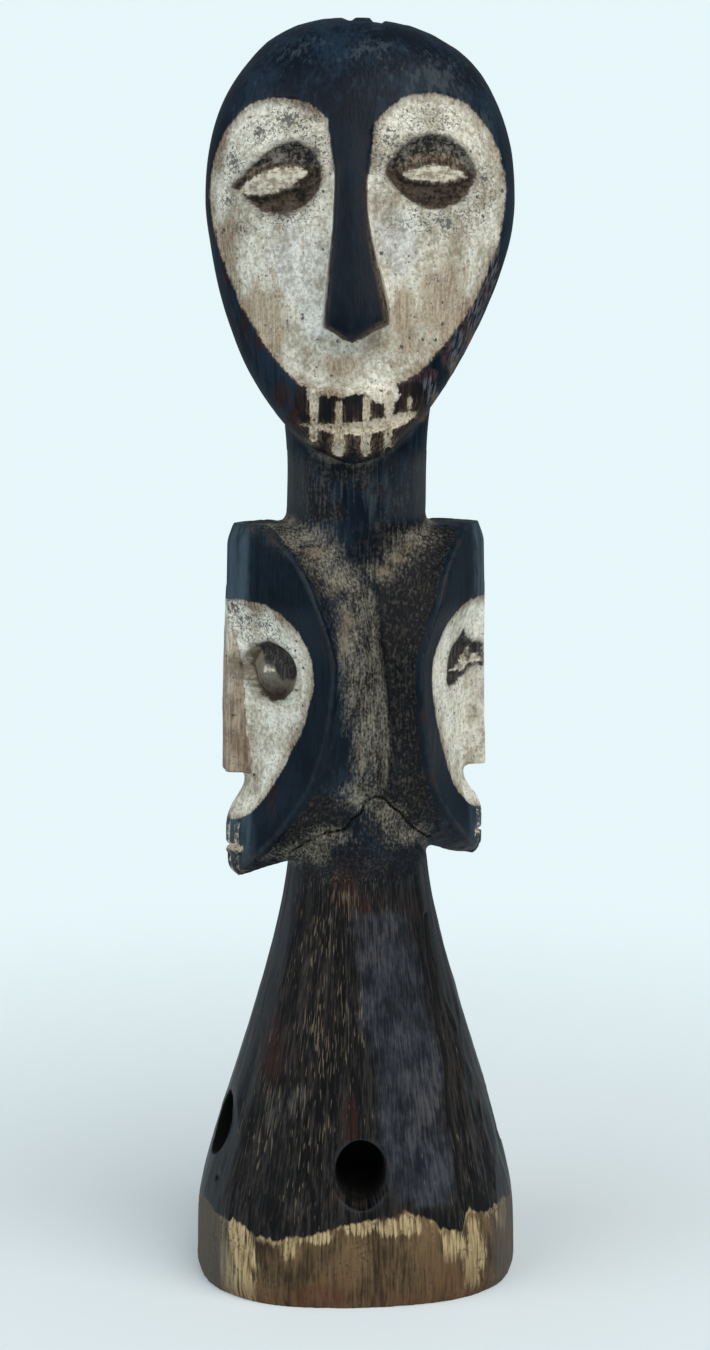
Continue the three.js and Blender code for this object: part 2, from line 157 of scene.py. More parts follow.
for tool in (bore("front_bore", front_passage), bore("side_bore", side_passage)):
    cut = foot.modifiers.new("bore", "BOOLEAN")
    cut.solver = "MANIFOLD"
    cut.operation = "DIFFERENCE"
    cut.object = tool
    applied(foot)
    bpy.data.objects.remove(tool)

# The two small heads
# They stand back to back on the foot, turned a little against it. Each is a long face like a
# heart with a straight nose, and a deep valley parts the two at the front and at the back.
side_turn = 8
side_half_width = 29.3
side_chin = 98
side_broad = 153
shoulder = 183
left_head = {"side": -1, "slope": 0.69, "ridge": 31.8, "brow": 0, "chin_rise": 0}
right_head = {"side": 1, "slope": 0.75, "ridge": 31.6, "brow": 0.9, "chin_rise": 3}

side_profile = [(98, 29.6), (99.5, 30.9), (101, 31.4), (107, 31), (115, 29.7), (125, 28.2),
                (150, 28.8), (166, 31.2), (178, 31), (183, 29.4)]
side_lips = [(98, 0), (101, 0.3), (107, 0.8), (112, 1.4), (115, 0.9), (118, -0.5),
             (120.7, -1.3), (125, -0.8), (132, 0)]
valley_floor = [(98, 3), (102, 8), (107, 13), (112, 17), (117, 19.2), (121, 20.4), (135, 21.5),
                (150, 21.3), (160, 20), (170, 17.5), (175, 15.5), (179.5, 12.5), (183, 9)]
jaw_inner = [(98, 29), (99.2, 27), (100.7, 22), (102.2, 18.5), (103.7, 14), (106, 4), (109, -3)]


def along(stations, x):
    """Value on a smooth curve through a few (place, value) stations, which never overshoots."""
    places, values = np.array(stations, float).T
    rise = np.diff(values) / np.diff(places)
    same_way = rise[:-1] * rise[1:] > 0
    total = np.where(same_way, rise[:-1] + rise[1:], 1)
    inner = np.where(same_way, 2 * rise[:-1] * rise[1:] / total, 0)
    slopes = np.concatenate([rise[:1], inner, rise[-1:]])
    i = np.clip(np.searchsorted(places, x) - 1, 0, len(places) - 2)
    span = places[i + 1] - places[i]
    t = np.clip((x - places[i]) / span, 0, 1)
    ends = (1 + 2 * t) * (1 - t) ** 2 * values[i] + t * t * (3 - 2 * t) * values[i + 1]
    return ends + span * (t * (1 - t) ** 2 * slopes[i] - t * t * (1 - t) * slopes[i + 1])


def head_share(z, chin, broad, crown, crown_power):
    """Share of the full half-width at a height: a round crown and a long tapered jaw."""
    rise = np.clip((z - broad) / (crown - broad), 0, 1)
    drop = np.clip((broad - z) / (broad - chin), 0, 1)
    return np.where(z > broad, (1 - rise ** crown_power) ** (1 / crown_power), (1 - drop ** 1.6) ** 0.595)


def side_half(z):
    return np.maximum(side_half_width * head_share(z, side_chin, side_broad, shoulder + 1, 2.1), 1.6)


def side_face(z, v, head):
    """How far out from the middle a small head's face lies, at height z and v across it."""
    share = np.clip(abs(v) / side_half(z), 0, 1)
    hollow = 1.2 * smooth(z, 112, 130) * (1 - smooth(z, 158, 168)) * 4 * share * (1 - share)
    lips = along(side_lips, np.minimum(z, 132)) * np.exp(-((v / 9) ** 2))
    wedge = head["slope"] * (np.hypot(v, 4) - 4)
    return along(side_profile, z) + head["brow"] * smooth(z, 152, 168) + lips - wedge - hollow


def shortened(z, head):
    """The lower end of a face drawn up a little where its chin sits higher than the other's."""
    start = 118
    share = (start - side_chin - head["chin_rise"]) / (start - side_chin)
    return np.where(z > start, z, start - (start - z) * share)


def lengthened(z, head):
    start = 118
    share = (start - side_chin - head["chin_rise"]) / (start - side_chin)
    return np.where(z > start, z, start - (start - z) / share)


def small_head(name, head):
    z = np.linspace(side_chin, shoulder, 190)[:, None]
    half = side_half(z)
    rim = side_face(z, half, head)
    v = np.linspace(0, 1, 60, endpoint=False)[None, :] * half
    t = np.linspace(0, 1, 60)[None, :]
    inner, floor = along(jaw_inner, z), along(valley_floor, z)
    bend_out = rim + 0.45 * (inner - rim)
    bend_across = half + 0.9 * (floor - half) + 3 * smooth(z, 171, 179)
    near, mid, far = (1 - t) ** 2, 2 * t * (1 - t), t * t
    turn_out = near * rim + mid * bend_out + far * inner
    turn_across = near * half + mid * bend_across + far * floor
    out = np.concatenate([side_face(z, v, head), turn_out], axis=1)
    over = np.concatenate([v, turn_across], axis=1)
    out = np.concatenate([out, out[:, :0:-1]], axis=1)
    over = np.concatenate([over, -over[:, :0:-1]], axis=1)
    rings = rings_of(head["side"] * out, head["side"] * over, shortened(z, head))
    return shape(name, turned(rings, side_turn))


def small_nose(name, head):
    """Straight nose with a flat front, cut off square below."""
    rows = [(head["ridge"] + 0.5, 3.2, 25, 5.8, 123.6), (head["ridge"], 2.4, 26, 4.4, 150),
            (head["ridge"] - 0.7 + head["brow"], 2.4, 27, 2.6, 168)]
    side = head["side"]
    rings = [[(side * front, -side * half, z), (side * front, side * half, z),
              (side * back, side * back_half, z), (side * back, -side * back_half, z)]
             for front, half, back, back_half, z in rows]
    return shape(name, turned(np.array(rings, float), side_turn))


blocks = [foot, small_head("left_head", left_head), small_head("right_head", right_head),
          small_nose("left_nose", left_head), small_nose("right_nose", right_head)]

# The neck
# A thick post with nearly flat front and sides and rounded corners, left standing between the
# shoulders and running up behind the jaw of the large head.
neck_half_width = 16.5
neck_half_depth = 17.5

z = np.linspace(160, 233, 90)[:, None]
across, deep = superellipse(around, 3)
taper = 1 + 0.04 * ((z - 194) / 14) ** 2 * np.where(z > 194, 1, 0.2)
blocks.append(shape("neck", rings_of(0.3 + across * neck_half_width * taper, deep * neck_half_depth, z)))

# The large head
# It faces forward: a round skull and a long jaw that comes to a narrow chin. The face is hollowed
# in the shape of a heart, with a long wedge of a nose left standing in it.
head_turn = -4
head_half_width = 36.3
head_front = -26.5
head_back = 26.5
chin = 197
broad = 258
head_squareness = 2.1
face_hollow = 1.4


def head_section(z):
    share = head_share(z, chin, broad, height, 2.27)
    lean = along([(197, 0), (204, -1.1), (213, -1), (232, 0), (250, 1.2), (288, 1.2), (300, -0.6)], z)
    drop = np.clip((broad - z) / (broad - chin), 0, 1)
    back_shift = 2.5 * smooth(z, broad, height)
    chin_round = 4.5 * (1 - smooth(z, chin, chin + 6)) ** 1.5
    mouth_swell = -1.3 * np.exp(-(((z - 209) / 9) ** 2))
    front = head_front * np.where(z > broad, share, 1) + back_shift + chin_round + mouth_swell
    chin_back = head_front + 4.5
    back = np.where(z > broad, head_back * share + back_shift,
                    chin_back + (head_back - chin_back) * (1 - drop ** 3))
    return head_half_width * share, lean, front, np.maximum(back, front + 0.4)


def head_depth(x, z):
    """Depth of the uncut front of the large head."""
    half_width, lean, front, back = head_section(z)
    middle = front + 0.47 * (back - front)
    reach = np.clip(abs(x - lean) / np.maximum(half_width, 0.01), 0, 1)
    return middle - (1 - reach ** head_squareness) ** (1 / head_squareness) * (middle - front)


def bezier(start, *curves, steps=14):
    """Points along joined cubic curves, each given by two handles and an end."""
    points = []
    t = (np.arange(steps) / steps)[:, None]
    for first, second, end in curves:
        a, b, c, d = (np.array(p, float) for p in (start, first, second, end))
        points.append((1 - t) ** 3 * a + 3 * t * (1 - t) ** 2 * b + 3 * t * t * (1 - t) * c + t ** 3 * d)
        start = end
    return np.concatenate(points)


def distance_to(path, x, z):
    """Distance in the plane of a face from each point to a line through the path's points."""
    nearest = np.full(x.shape, 1e9)
    for (x0, z0), (x1, z1) in zip(path[:-1], path[1:]):
        dx, dz = x1 - x0, z1 - z0
        t = np.clip(((x - x0) * dx + (z - z0) * dz) / (dx * dx + dz * dz), 0, 1)
        nearest = np.minimum(nearest, (x - x0 - t * dx) ** 2 + (z - z0 - t * dz) ** 2)
    return np.sqrt(nearest)


def depth_inside(outline, x, z):
    """Distance in from a closed outline, negative outside it."""
    inside = np.zeros(x.shape, bool)
    closed = np.concatenate([outline, outline[:1]])
    for (x0, z0), (x1, z1) in zip(closed[:-1], closed[1:]):
        if z0 != z1:
            inside ^= ((z0 > z) != (z1 > z)) & (x < x0 + (z - z0) * (x1 - x0) / (z1 - z0))
    return np.where(inside, 1, -1) * distance_to(closed, x, z)


heart = bezier(
    (-11, 214.5),
    ((-19, 219), (-33.2, 240), (-33.6, 259)),
    ((-33.6, 271), (-27, 279.9), (-18, 279.9)),
    ((-9, 279.9), (-4.5, 275), (-0.8, 262)),
    ((3, 275), (9, 280.9), (18, 280.9)),
    ((27, 280.9), (34.9, 271), (34.9, 259)),
    ((34, 240), (22, 224), (13, 216.5)),
    ((5, 213.5), (-3, 212.8), (-11, 214.5)),
)

# Rows lie closer together where the chin and the crown round over
t = np.linspace(0, math.pi / 2, 130)
jaw_rows = broad - (broad - chin) * np.sin(t[::-1])
crown_rows = broad + (height - broad) * np.sin(t[1:])
z = np.concatenate([jaw_rows, crown_rows])[:, None]
half_width, lean, front, back = head_section(z)
middle = front + 0.47 * (back - front)
front_x, front_y = superellipse(np.linspace(math.pi, 2 * math.pi, 260, endpoint=False)[None, :], head_squareness)
back_x, back_y = superellipse(np.linspace(0, math.pi, 150, endpoint=False)[None, :], head_squareness)
face_x = lean + front_x * half_width
face_z = np.broadcast_to(z, face_x.shape)
sunk = face_hollow * smooth(depth_inside(heart, face_x, face_z), -0.1, 1.1)
x = np.concatenate([face_x, lean + back_x * half_width], axis=1)
y = np.concatenate([middle + front_y * (middle - front) + sunk, middle + back_y * (back - middle)], axis=1)
blocks.append(shape("head", turned(rings_of(x, y, z), head_turn)))

# Edges and front of the nose at each height, and its lower edge, which comes down to a V
nose_left = [(224, -6.8), (228.6, -6.6), (237.7, -5.8), (248.9, -4.9), (260, -4.4), (271, -5.4), (281, -7)]
nose_right = [(224, 7.2), (229.3, 7.1), (236.6, 5.9), (241, 4.9), (251, 2.9), (257, 2.5), (271, 3.8), (281, 5.6)]
nose_front = [(224, -32.6), (229, -32.7), (240, -31.2), (256, -28.9), (262, -27.9), (267, -26.6), (271, -25.4),
              (275, -24.05), (278, -22.6), (281, -20.6)]
nose_tip = -0.8
nose_top = 281


def nose_foot(x):
    return 223.9 + 5 * np.clip(abs(x - nose_tip) / 7, 0, 1)


t = np.linspace(0, 1, 40)[:, None]
f = np.linspace(-1, 1, 21)[None, :]
tilted = 226 + (nose_top - 226) * t
left_edge, right_edge = along(nose_left, tilted), along(nose_right, tilted)
x = (left_edge + right_edge) / 2 + f * (right_edge - left_edge) / 2
z = nose_foot(x) + (nose_top - nose_foot(x)) * t
y = along(nose_front, z) + 1.0 * f * f + 1.2 * (1 - smooth(t, 0, 0.02))
back_f = np.linspace(1.25, -1.25, 5)[None, :]
back_x = (left_edge + right_edge) / 2 + back_f * (right_edge - left_edge) / 2
back_z = nose_foot(back_x) + (nose_top - nose_foot(back_x)) * t
rings = rings_of(np.concatenate([x, back_x], axis=1),
                 np.concatenate([y, np.full(back_x.shape, -18.0)], axis=1),
                 np.concatenate([z, back_z], axis=1))
blocks.append(shape("nose", turned(rings, head_turn)))

# One block
# All these forms are one piece of wood, so they are fused into one skin of even, fine cells, and
# the inner corners are rounded as a knife leaves them.
cell = 0.5

bpy.ops.object.select_all(action="DESELECT")
for block in blocks:
    block.select_set(True)
bpy.context.view_layer.objects.active = foot
bpy.ops.object.join()
figure = foot
figure.name = figure.data.name = "carved_wood"
fuse = figure.modifiers.new("fuse", "REMESH")
fuse.mode = "VOXEL"
fuse.voxel_size = cell
applied(figure)


def points_of(mesh):
    flat = np.empty(len(mesh.vertices) * 3, np.float32)
    mesh.vertices.foreach_get("co", flat)
    return flat.reshape(-1, 3).astype(float)


def normals_of(mesh):
    flat = np.empty(len(mesh.vertices) * 3, np.float32)
    mesh.vertices.foreach_get("normal", flat)
    return flat.reshape(-1, 3).astype(float)


def move_points(mesh, points):
    mesh.vertices.foreach_set("co", points.astype(np.float32).ravel())
    mesh.update()


class Web:
    """The edges of a mesh, for evening out values over neighbouring points."""

    def __init__(self, mesh):
        ends = np.empty(len(mesh.edges) * 2, np.int32)
        mesh.edges.foreach_get("vertices", ends)
        self.a, self.b = ends[::2], ends[1::2]
        self.count = len(mesh.vertices)
        self.degree = np.bincount(ends, minlength=self.count)

    def mean(self, values):
        if values.ndim == 2:
            return np.stack([self.mean(column) for column in values.T], axis=1)
        total = np.bincount(self.a, values[self.b], self.count) + np.bincount(self.b, values[self.a], self.count)
        return total / self.degree

    def evened(self, values, rounds, share=1.0):
        for _ in range(rounds):
            values = values + share * (self.mean(values) - values)
        return values


mesh = figure.data
web = Web(mesh)
points = web.evened(points_of(mesh), 2, 0.6)
move_points(mesh, points)
rounds = round(8 * (0.5 / cell) ** 2) + 1
bend = np.einsum("ij,ij->i", web.evened(points, rounds) - points, normals_of(mesh)) / cell
corner = web.evened(smooth(bend, 0.12, 0.4), rounds, 0.8)
on_face = smooth(-turned(points, -head_turn)[:, 1], 18, 21) * smooth(points[:, 2], 194, 198)
corner = np.clip(corner * 1.5, 0, 1) * (1 - on_face)
for _ in range(rounds * 3):
    points = points + corner[:, None] * 0.7 * (web.mean(points) - points)
move_points(mesh, points)

figure_points, figure_normals = points, normals_of(mesh)

# Marks on the faces
# Eyes, teeth, the white areas and the old crack are laid out in the plane of each face, and both
# the carving and the colours are taken from the same outlines.
left_eye = bezier(
    (-28.4, 260.2),
    ((-22.5, 266.5), (-17, 270.9), (-12.6, 269.8)),
    ((-8.6, 268.4), (-6.6, 264), (-7.3, 260.3)),
    ((-9, 254.8), (-15, 252.4), (-20, 253.8)),
    ((-23.5, 255), (-26, 258.6), (-28.4, 260.2)),
)
left_lens = bezier(
    (-27.4, 258.9),
    ((-23.5, 263.4), (-16, 265.6), (-9.8, 263.3)),
    ((-12, 259.3), (-21, 256), (-27.4, 258.9)),
)
right_eye = bezier(
    (6.4, 263.2),
    ((9, 268.5), (13.5, 271.9), (18.5, 271.6)),
    ((23, 271.2), (26.8, 267.8), (27.8, 263)),
    ((26.8, 258), (23, 254.5), (18.3, 254.4)),
    ((12.5, 254.6), (8.2, 258.5), (6.4, 263.2)),
)
right_lens = bezier(
    (9.9, 262),
    ((14, 265.4), (22, 265.8), (25.9, 262.2)),
    ((22, 260), (14, 260.1), (9.9, 262)),
)
beans = [{"x": -18.6, "z": 261.6, "tilt": 0.2, "long": 8.8, "tall": 4.2},
         {"x": 17.8, "z": 263.6, "tilt": 0.0, "long": 8.8, "tall": 4.4}]
mouth_line = [(-12.3, 206.4), (-8, 205.9), (-3.5, 205.3), (2, 205.6), (8, 206.7), (11.6, 208), (13, 208.6)]
mouth_half = [(-12.3, 0.2), (-8, 0.95), (-2, 1.4), (8, 1.5), (12, 1.2), (13, 0.9)]
tooth_lines = [(-9.3, 202.4, 213.4, 1.1), (-3.8, 199.4, 212, 1.0), (-3.7, 199.2, 205, 1.6), (2.5, 199, 213.4, 0.9), (7.7, 199.4, 214, 0.9),
               (12.4, 207.6, 212.6, 0.6)]
small_heart = bezier(
    (0, 112.2),
    ((4, 112.2), (8.2, 112.4), (10.2, 119)),
    ((13, 127), (22.8, 138), (23, 149)),
    ((23, 159), (17, 165.2), (8.5, 165.2)),
    ((4, 165.2), (1, 165), (0, 165)),
    ((0, 150), (0, 130), (0, 112.2)),
)
left_head["eye"] = bezier(
    (3, 149.8),
    ((4.2, 153.6), (7.6, 156), (11.6, 155.8)),
    ((15.4, 155.4), (18, 152.6), (18.2, 149)),
    ((17.4, 144.6), (14.4, 141.4), (10.8, 141.3)),
    ((7, 141.6), (3.6, 145.6), (3, 149.8)),
)
left_head["dark"] = np.array([(6.6, 155), (10.4, 155.8), (14, 154.4), (16.4, 150.6), (15.4, 147.2), (13.2, 146.6),
                              (11.4, 149.6), (8.6, 150.6), (6.8, 152.6)], float)
left_head["white"] = np.array([(7.6, 149), (9.4, 150.4), (12.2, 149.8), (11.6, 148.2), (8.8, 147.6)], float)
left_head["ball"] = (10.6, 147.8, 4.6, 4.8)
right_head["eye"] = np.array([(9.2, 157.4), (2.7, 153.4), (2.5, 148.6), (5.6, 146.2), (13.4, 143.9), (14.8, 146.2),
                              (14.4, 150.8), (13.4, 153.8), (11.2, 155.2)], float)
right_head["dark"] = right_head["eye"]
right_head["white"] = np.array([(2.4, 151.6), (2.4, 148.8), (6.2, 146.9), (10.6, 147.5), (8, 149.8)], float)
right_head["ball"] = (7, 148, 3.4, 2.6)
small_mouth = 105.6
crack = [(-15.7, 105.1), (-12.9, 107), (-9.5, 109.3), (-7, 110.6), (-4.5, 111), (-2.3, 111.8),
         (-0.6, 114.2), (1.2, 115.4), (2.6, 118.4), (4.7, 119.6), (7, 118.9), (8.6, 116.8),
         (10.5, 115.4), (12.2, 112.6), (14.1, 110.6), (17.1, 108.2), (19.5, 106.6)]
seam = [(16.8, 90), (17.6, 80), (19.2, 72), (20, 63), (21.6, 55), (21.9, 45), (24, 36), (24.6, 27)]
worm_hole = np.array([-34.3, -14.6, 26.2])
bare_top = [(-40, 20), (-31.8, 19.4), (-26, 17.4), (-22.1, 16.6), (-14, 17.8), (-5.8, 20.3), (1.3, 21.6), (8.4, 22.7),
            (15.5, 21.4), (19.2, 18.2), (23.4, 16.7), (24.9, 22), (28, 19.9), (33.6, 20.3), (40, 19)]


def marks(points):
    """Distances in millimetres from each point to the marks, positive inside them."""
    found = {}
    flat = turned(points, -head_turn)
    x, y, z = flat.T
    limit = along([(196, -18.8), (204, -18), (212, -12), (222, -4), (235, -2)], z)
    face = (z > 196.5) & (y < limit)
    away = np.full(len(points), -12.0)

    def on_face(distance):
        spread = away.copy()
        spread[face] = distance(x[face], z[face])
        return spread

    edge_left, edge_right = along(nose_left, z), along(nose_right, z)
    nose = np.minimum(np.minimum(x - edge_left, edge_right - x), (z - nose_foot(x)) * 0.8)
    proud = y < head_depth(x, z) + face_hollow - 0.7
    found["nose"] = np.where(face & (z < 279), np.where(proud | (z > 262), nose, -3), -12)
    found["heart"] = on_face(lambda x, z: np.maximum(depth_inside(heart, x, z),
                                                     np.minimum(7 - abs(z - 219.1), 10.4 - abs(x + 0.6))))
    found["eye"] = np.maximum(on_face(lambda x, z: depth_inside(left_eye, x, z)),
                              on_face(lambda x, z: depth_inside(right_eye, x, z)))
    found["lens"] = np.maximum(on_face(lambda x, z: depth_inside(left_lens, x, z)),
                               on_face(lambda x, z: depth_inside(right_lens, x, z)))
    found["groove"] = on_face(lambda x, z: along(mouth_half, x) - distance_to(mouth_line, x, z))
    for across, low, high, half in tooth_lines:
        line = [(across - 0.1, low + half), (across + 0.1, high - half)]
        found["groove"] = np.maximum(found["groove"], on_face(lambda x, z: half - distance_to(line, x, z)))
    found["bean"] = np.zeros(len(points))
    for bean in beans:
        c, s = math.cos(bean["tilt"]), math.sin(bean["tilt"])
        p, q = (x - bean["x"]) * c + (z - bean["z"]) * s, (z - bean["z"]) * c - (x - bean["x"]) * s
        round_up = 1 - (p / bean["long"]) ** 2 - (q / bean["tall"]) ** 2
        found["bean"] += np.where(face, np.sqrt(np.clip(round_up, 0, 1)), 0)
    found["face"] = face
    found["dark_part"] = away.copy()
    flat = turned(points, -side_turn)
    for head in (left_head, right_head):
        side = head["side"]
        u, v, z = side * flat[:, 0], side * flat[:, 1], lengthened(flat[:, 2], head)
        depth = u - side_face(z, v, head)
        side_of = (depth > -2.2) & (abs(v) < side_half(z) + 1) & (z > 97) & (z < 184) & (u > 5)
        w, h = abs(v[side_of]), z[side_of]
        near_nose = np.where(w < 6, np.minimum(depth_inside(small_heart, np.full(w.shape, 6.0), h), 5), -12)
        found["heart"][side_of] = np.maximum(depth_inside(small_heart, w, h), near_nose)
        off_nose = np.minimum(w - 2.7, 3)
        found["eye"][side_of] = np.minimum(depth_inside(head["eye"], w, h), off_nose)
        found["dark_part"][side_of] = np.minimum(depth_inside(head["dark"], w, h), off_nose)
        found["lens"][side_of] = np.minimum(depth_inside(head["white"], w, h), off_nose)
        ball_w, ball_h, half_w, half_h = head["ball"]
        round_up = 1 - ((w - ball_w) / half_w) ** 2 - ((h - ball_h) / half_h) ** 2
        found["bean"][side_of] = np.sqrt(np.clip(round_up, 0, 1))
        line = 0.75 - abs(h - small_mouth)
        line = np.where(w < 6.8, line, -1)
        for place in (1.6, 4.8):
            tooth = np.where((h > small_mouth - 6.5) & (h < small_mouth + 6.2), 0.6 - abs(w - place), -1)
            line = np.maximum(line, tooth)
        found["groove"][side_of] = line
        nose_side = np.where((z > 123.2) & (z < 168) & (depth > 0.9) & side_of, depth, -2)
        found["nose"] = np.maximum(found["nose"], np.where(side_of, -3, found["nose"]))
        found["small_nose"] = np.maximum(found.get("small_nose", -2.0), nose_side)
        found["small_face"] = found.get("small_face", False) | side_of
    front = (points[:, 1] < -10) & (points[:, 2] > 95) & (points[:, 2] < 128)
    view = turned(points, -head_turn)
    found["crack"] = np.where(front, 0.30 - distance_to(crack, view[:, 0], view[:, 2]), -12)
    found["seam"] = np.where(view[:, 1] < -8, 0.30 - distance_to(seam, view[:, 0], view[:, 2]), -12)
    found["worm"] = 0.75 - np.linalg.norm(points - worm_hole, axis=1)
    ragged_top = along(bare_top, np.clip(points[:, 0], -40, 40))
    found["bare"] = np.where(points[:, 1] < 8, ragged_top, 19.5) - points[:, 2]
    return found


# Knife work
# The whole surface is worked over with a knife: long flat cuts on the foot and neck, finer ones
# on the heads, raised grain, chips on the crown, and the carved marks cut into it.
rng = np.random.default_rng(41)
noise_table = rng.uniform(-1, 1, (64, 64, 64))


def lumps(points, size, seed=0):
    """Soft random swelling from -1 to 1 with lumps of the given size along x, y and z."""
    q = points / np.array(size) + 17.3 * seed + 100
    i = np.floor(q).astype(int)
    f = q - i
    f = f * f * (3 - 2 * f)
    total = np.zeros(len(points))
    for corner in np.ndindex(2, 2, 2):
        weight = np.prod(np.where(np.array(corner), f, 1 - f), axis=1)
        total += weight * noise_table[tuple(((i + corner) & 63).T)]
    return total


def facets(points, where, count, tall):
    """Flat knife cuts: 0 along their edges and 1 in the middle of each."""
    scale = np.array([1, 1, 1 / tall])
    seeds = rng.choice(points[where], count, replace=False) * scale
    middle = np.zeros(len(points))
    chosen = np.flatnonzero(where)
    for part in np.array_split(chosen, len(chosen) // 20000 + 1):
        q = points[part] * scale
        d = (q * q).sum(1)[:, None] + (seeds * seeds).sum(1)[None] - 2 * q @ seeds.T
        first, second = np.sqrt(np.maximum(np.partition(d, 1, axis=1)[:, :2], 0)).T
        middle[part] = 1 - (2 * first / (first + second)) ** 2
    return middle


found = marks(figure_points)
x, y, z = figure_points.T
head_x = turned(figure_points, -head_turn)[:, 0]
is_head = smooth(z, 214, 218) + (z > 196) * found["face"]
is_head = np.clip(is_head, 0, 1)
is_face = np.clip(found["face"] + found["small_face"], 0, 1) * smooth(found["heart"], -1, 0.5)
in_valley = smooth(z, 100, 112) * (1 - smooth(z, 180, 190)) * (1 - found["small_face"])
in_bore = np.maximum(
    (np.hypot((x - front_passage["across"]) / 6.4, (z - front_passage["height"]) / 7.8) < 1) * 1.0,
    (np.hypot((y - side_passage["across"] - 0.0875 * x) / 6.9, (z - side_passage["height"]) / 7.4) < 1) * 1.0)

relief = -0.42 * facets(figure_points, z < 104, 74, 4.5) * (z < 104) * smooth(z, 0, 6)
relief -= 0.30 * facets(figure_points, (z >= 104) & (z < 200), 170, 2.2) * (1 - 0.7 * found["small_face"])
relief -= 0.16 * facets(figure_points, z >= 200, 130, 1.8) * (1 - 0.6 * is_face)
relief += 0.16 * lumps(figure_points, (9, 9, 26), 1)
relief += 0.05 * lumps(figure_points, (1.1, 1.1, 12), 2) * (1 - 0.5 * is_head) * (1 - 0.8 * found["small_face"])
relief += in_valley * 0.20 * lumps(figure_points, (1.5, 1.5, 2.8), 3)
relief += in_valley * 0.22 * lumps(figure_points, (3.4, 3.4, 7), 6)
relief += is_face * 0.05 * lumps(figure_points, (1.6, 1.6, 2.2), 4)
relief *= 1 - in_bore * 0.8

off_nose = 1 - smooth(found["small_nose"], -1, 0.4)
relief -= 1.5 * smooth(found["eye"], -0.15, 1.5) * off_nose
relief += 1.5 * found["bean"] * smooth(found["eye"], 0.2, 1.2) * off_nose
relief -= 0.85 * smooth(found["groove"], -0.1, 0.5)
relief -= 1.3 * smooth(found["crack"], -0.1, 0.35)
relief -= 0.35 * smooth(found["seam"], -0.3, 0.2)
down_valley = smooth(z, 116, 124) * (1 - smooth(z, 164, 172)) * (y < -6)
middle_line = along([(110, 1.2), (130, 2.6), (150, 0.6), (175, -1.5)], z)
relief += down_valley * 0.9 * np.exp(-(((x - middle_line) / 1.8) ** 2))
relief -= down_valley * 1.0 * np.exp(-(((x - middle_line - 3.4) / 1.1) ** 2))
relief -= 1.6 * smooth(found["worm"], 0, 0.5)

crown = smooth(z, height - 2.6, height - 1.2)
chips = smooth(lumps(figure_points, (3.2, 3.2, 50), 5), -0.15, 0.3)
relief -= crown * (0.15 + 0.75 * chips) * (0.15 + 0.85 * smooth(head_x, -3.5, -1))
relief -= 0.8 * smooth(z, height - 5, height - 3) * smooth(1.9 - abs(head_x - 5.3), 0, 0.9)

move_points(mesh, figure_points + figure_normals * relief[:, None])
points = points_of(mesh)
low = points[:, 2] < 0.05
points[low, 2] = 0
move_points(mesh, points)

# How hollow or how proud each place is, for the dust in the one and, on the other, the rubbed wear and a painted sheen
# along the edges
fine = web.evened(points, round(4 * (0.5 / cell) ** 2) + 1)
wide = web.evened(fine, round(36 * (0.5 / cell) ** 2) + 2)
normals = normals_of(mesh)
for name, smoothed in (("fine_hollow", fine), ("wide_hollow", wide)):
    value = np.einsum("ij,ij->i", smoothed - points, normals)
    value = web.evened(value, 2)
    mesh.attributes.new(name, "FLOAT", "POINT").data.foreach_set("value", value.astype(np.float32))

most_triangles = 196000
thin = figure.modifiers.new("thin", "DECIMATE")
thin.ratio = min(1, most_triangles / (2 * len(mesh.polygons)))
thin.use_collapse_triangulate = True
applied(figure)
mesh = figure.data
points = points_of(mesh)
found = marks(points)
found.pop("face")
found["side_face"] = found.pop("small_face") * 1.0
found["sideways"] = abs(normals_of(mesh)[:, 0])
found["outer"] = abs(turned(points, -side_turn)[:, 0])
side_grow = 0.12 * np.maximum(abs(points[:, 0]) - 31, 0)
found["bore"] = np.maximum(
    1 - np.hypot((points[:, 0] - front_passage["across"]) / 6.5, (points[:, 2] - front_passage["height"]) / 7.9),
    1 - np.hypot((points[:, 1] - side_passage["across"] - 0.0875 * points[:, 0]) / (7.4 + side_grow),
                 (points[:, 2] - side_passage["height"]) / (8.0 + side_grow)))
for name, value in found.items():
    mesh.attributes.new(name, "FLOAT", "POINT").data.foreach_set("value", value.astype(np.float32))
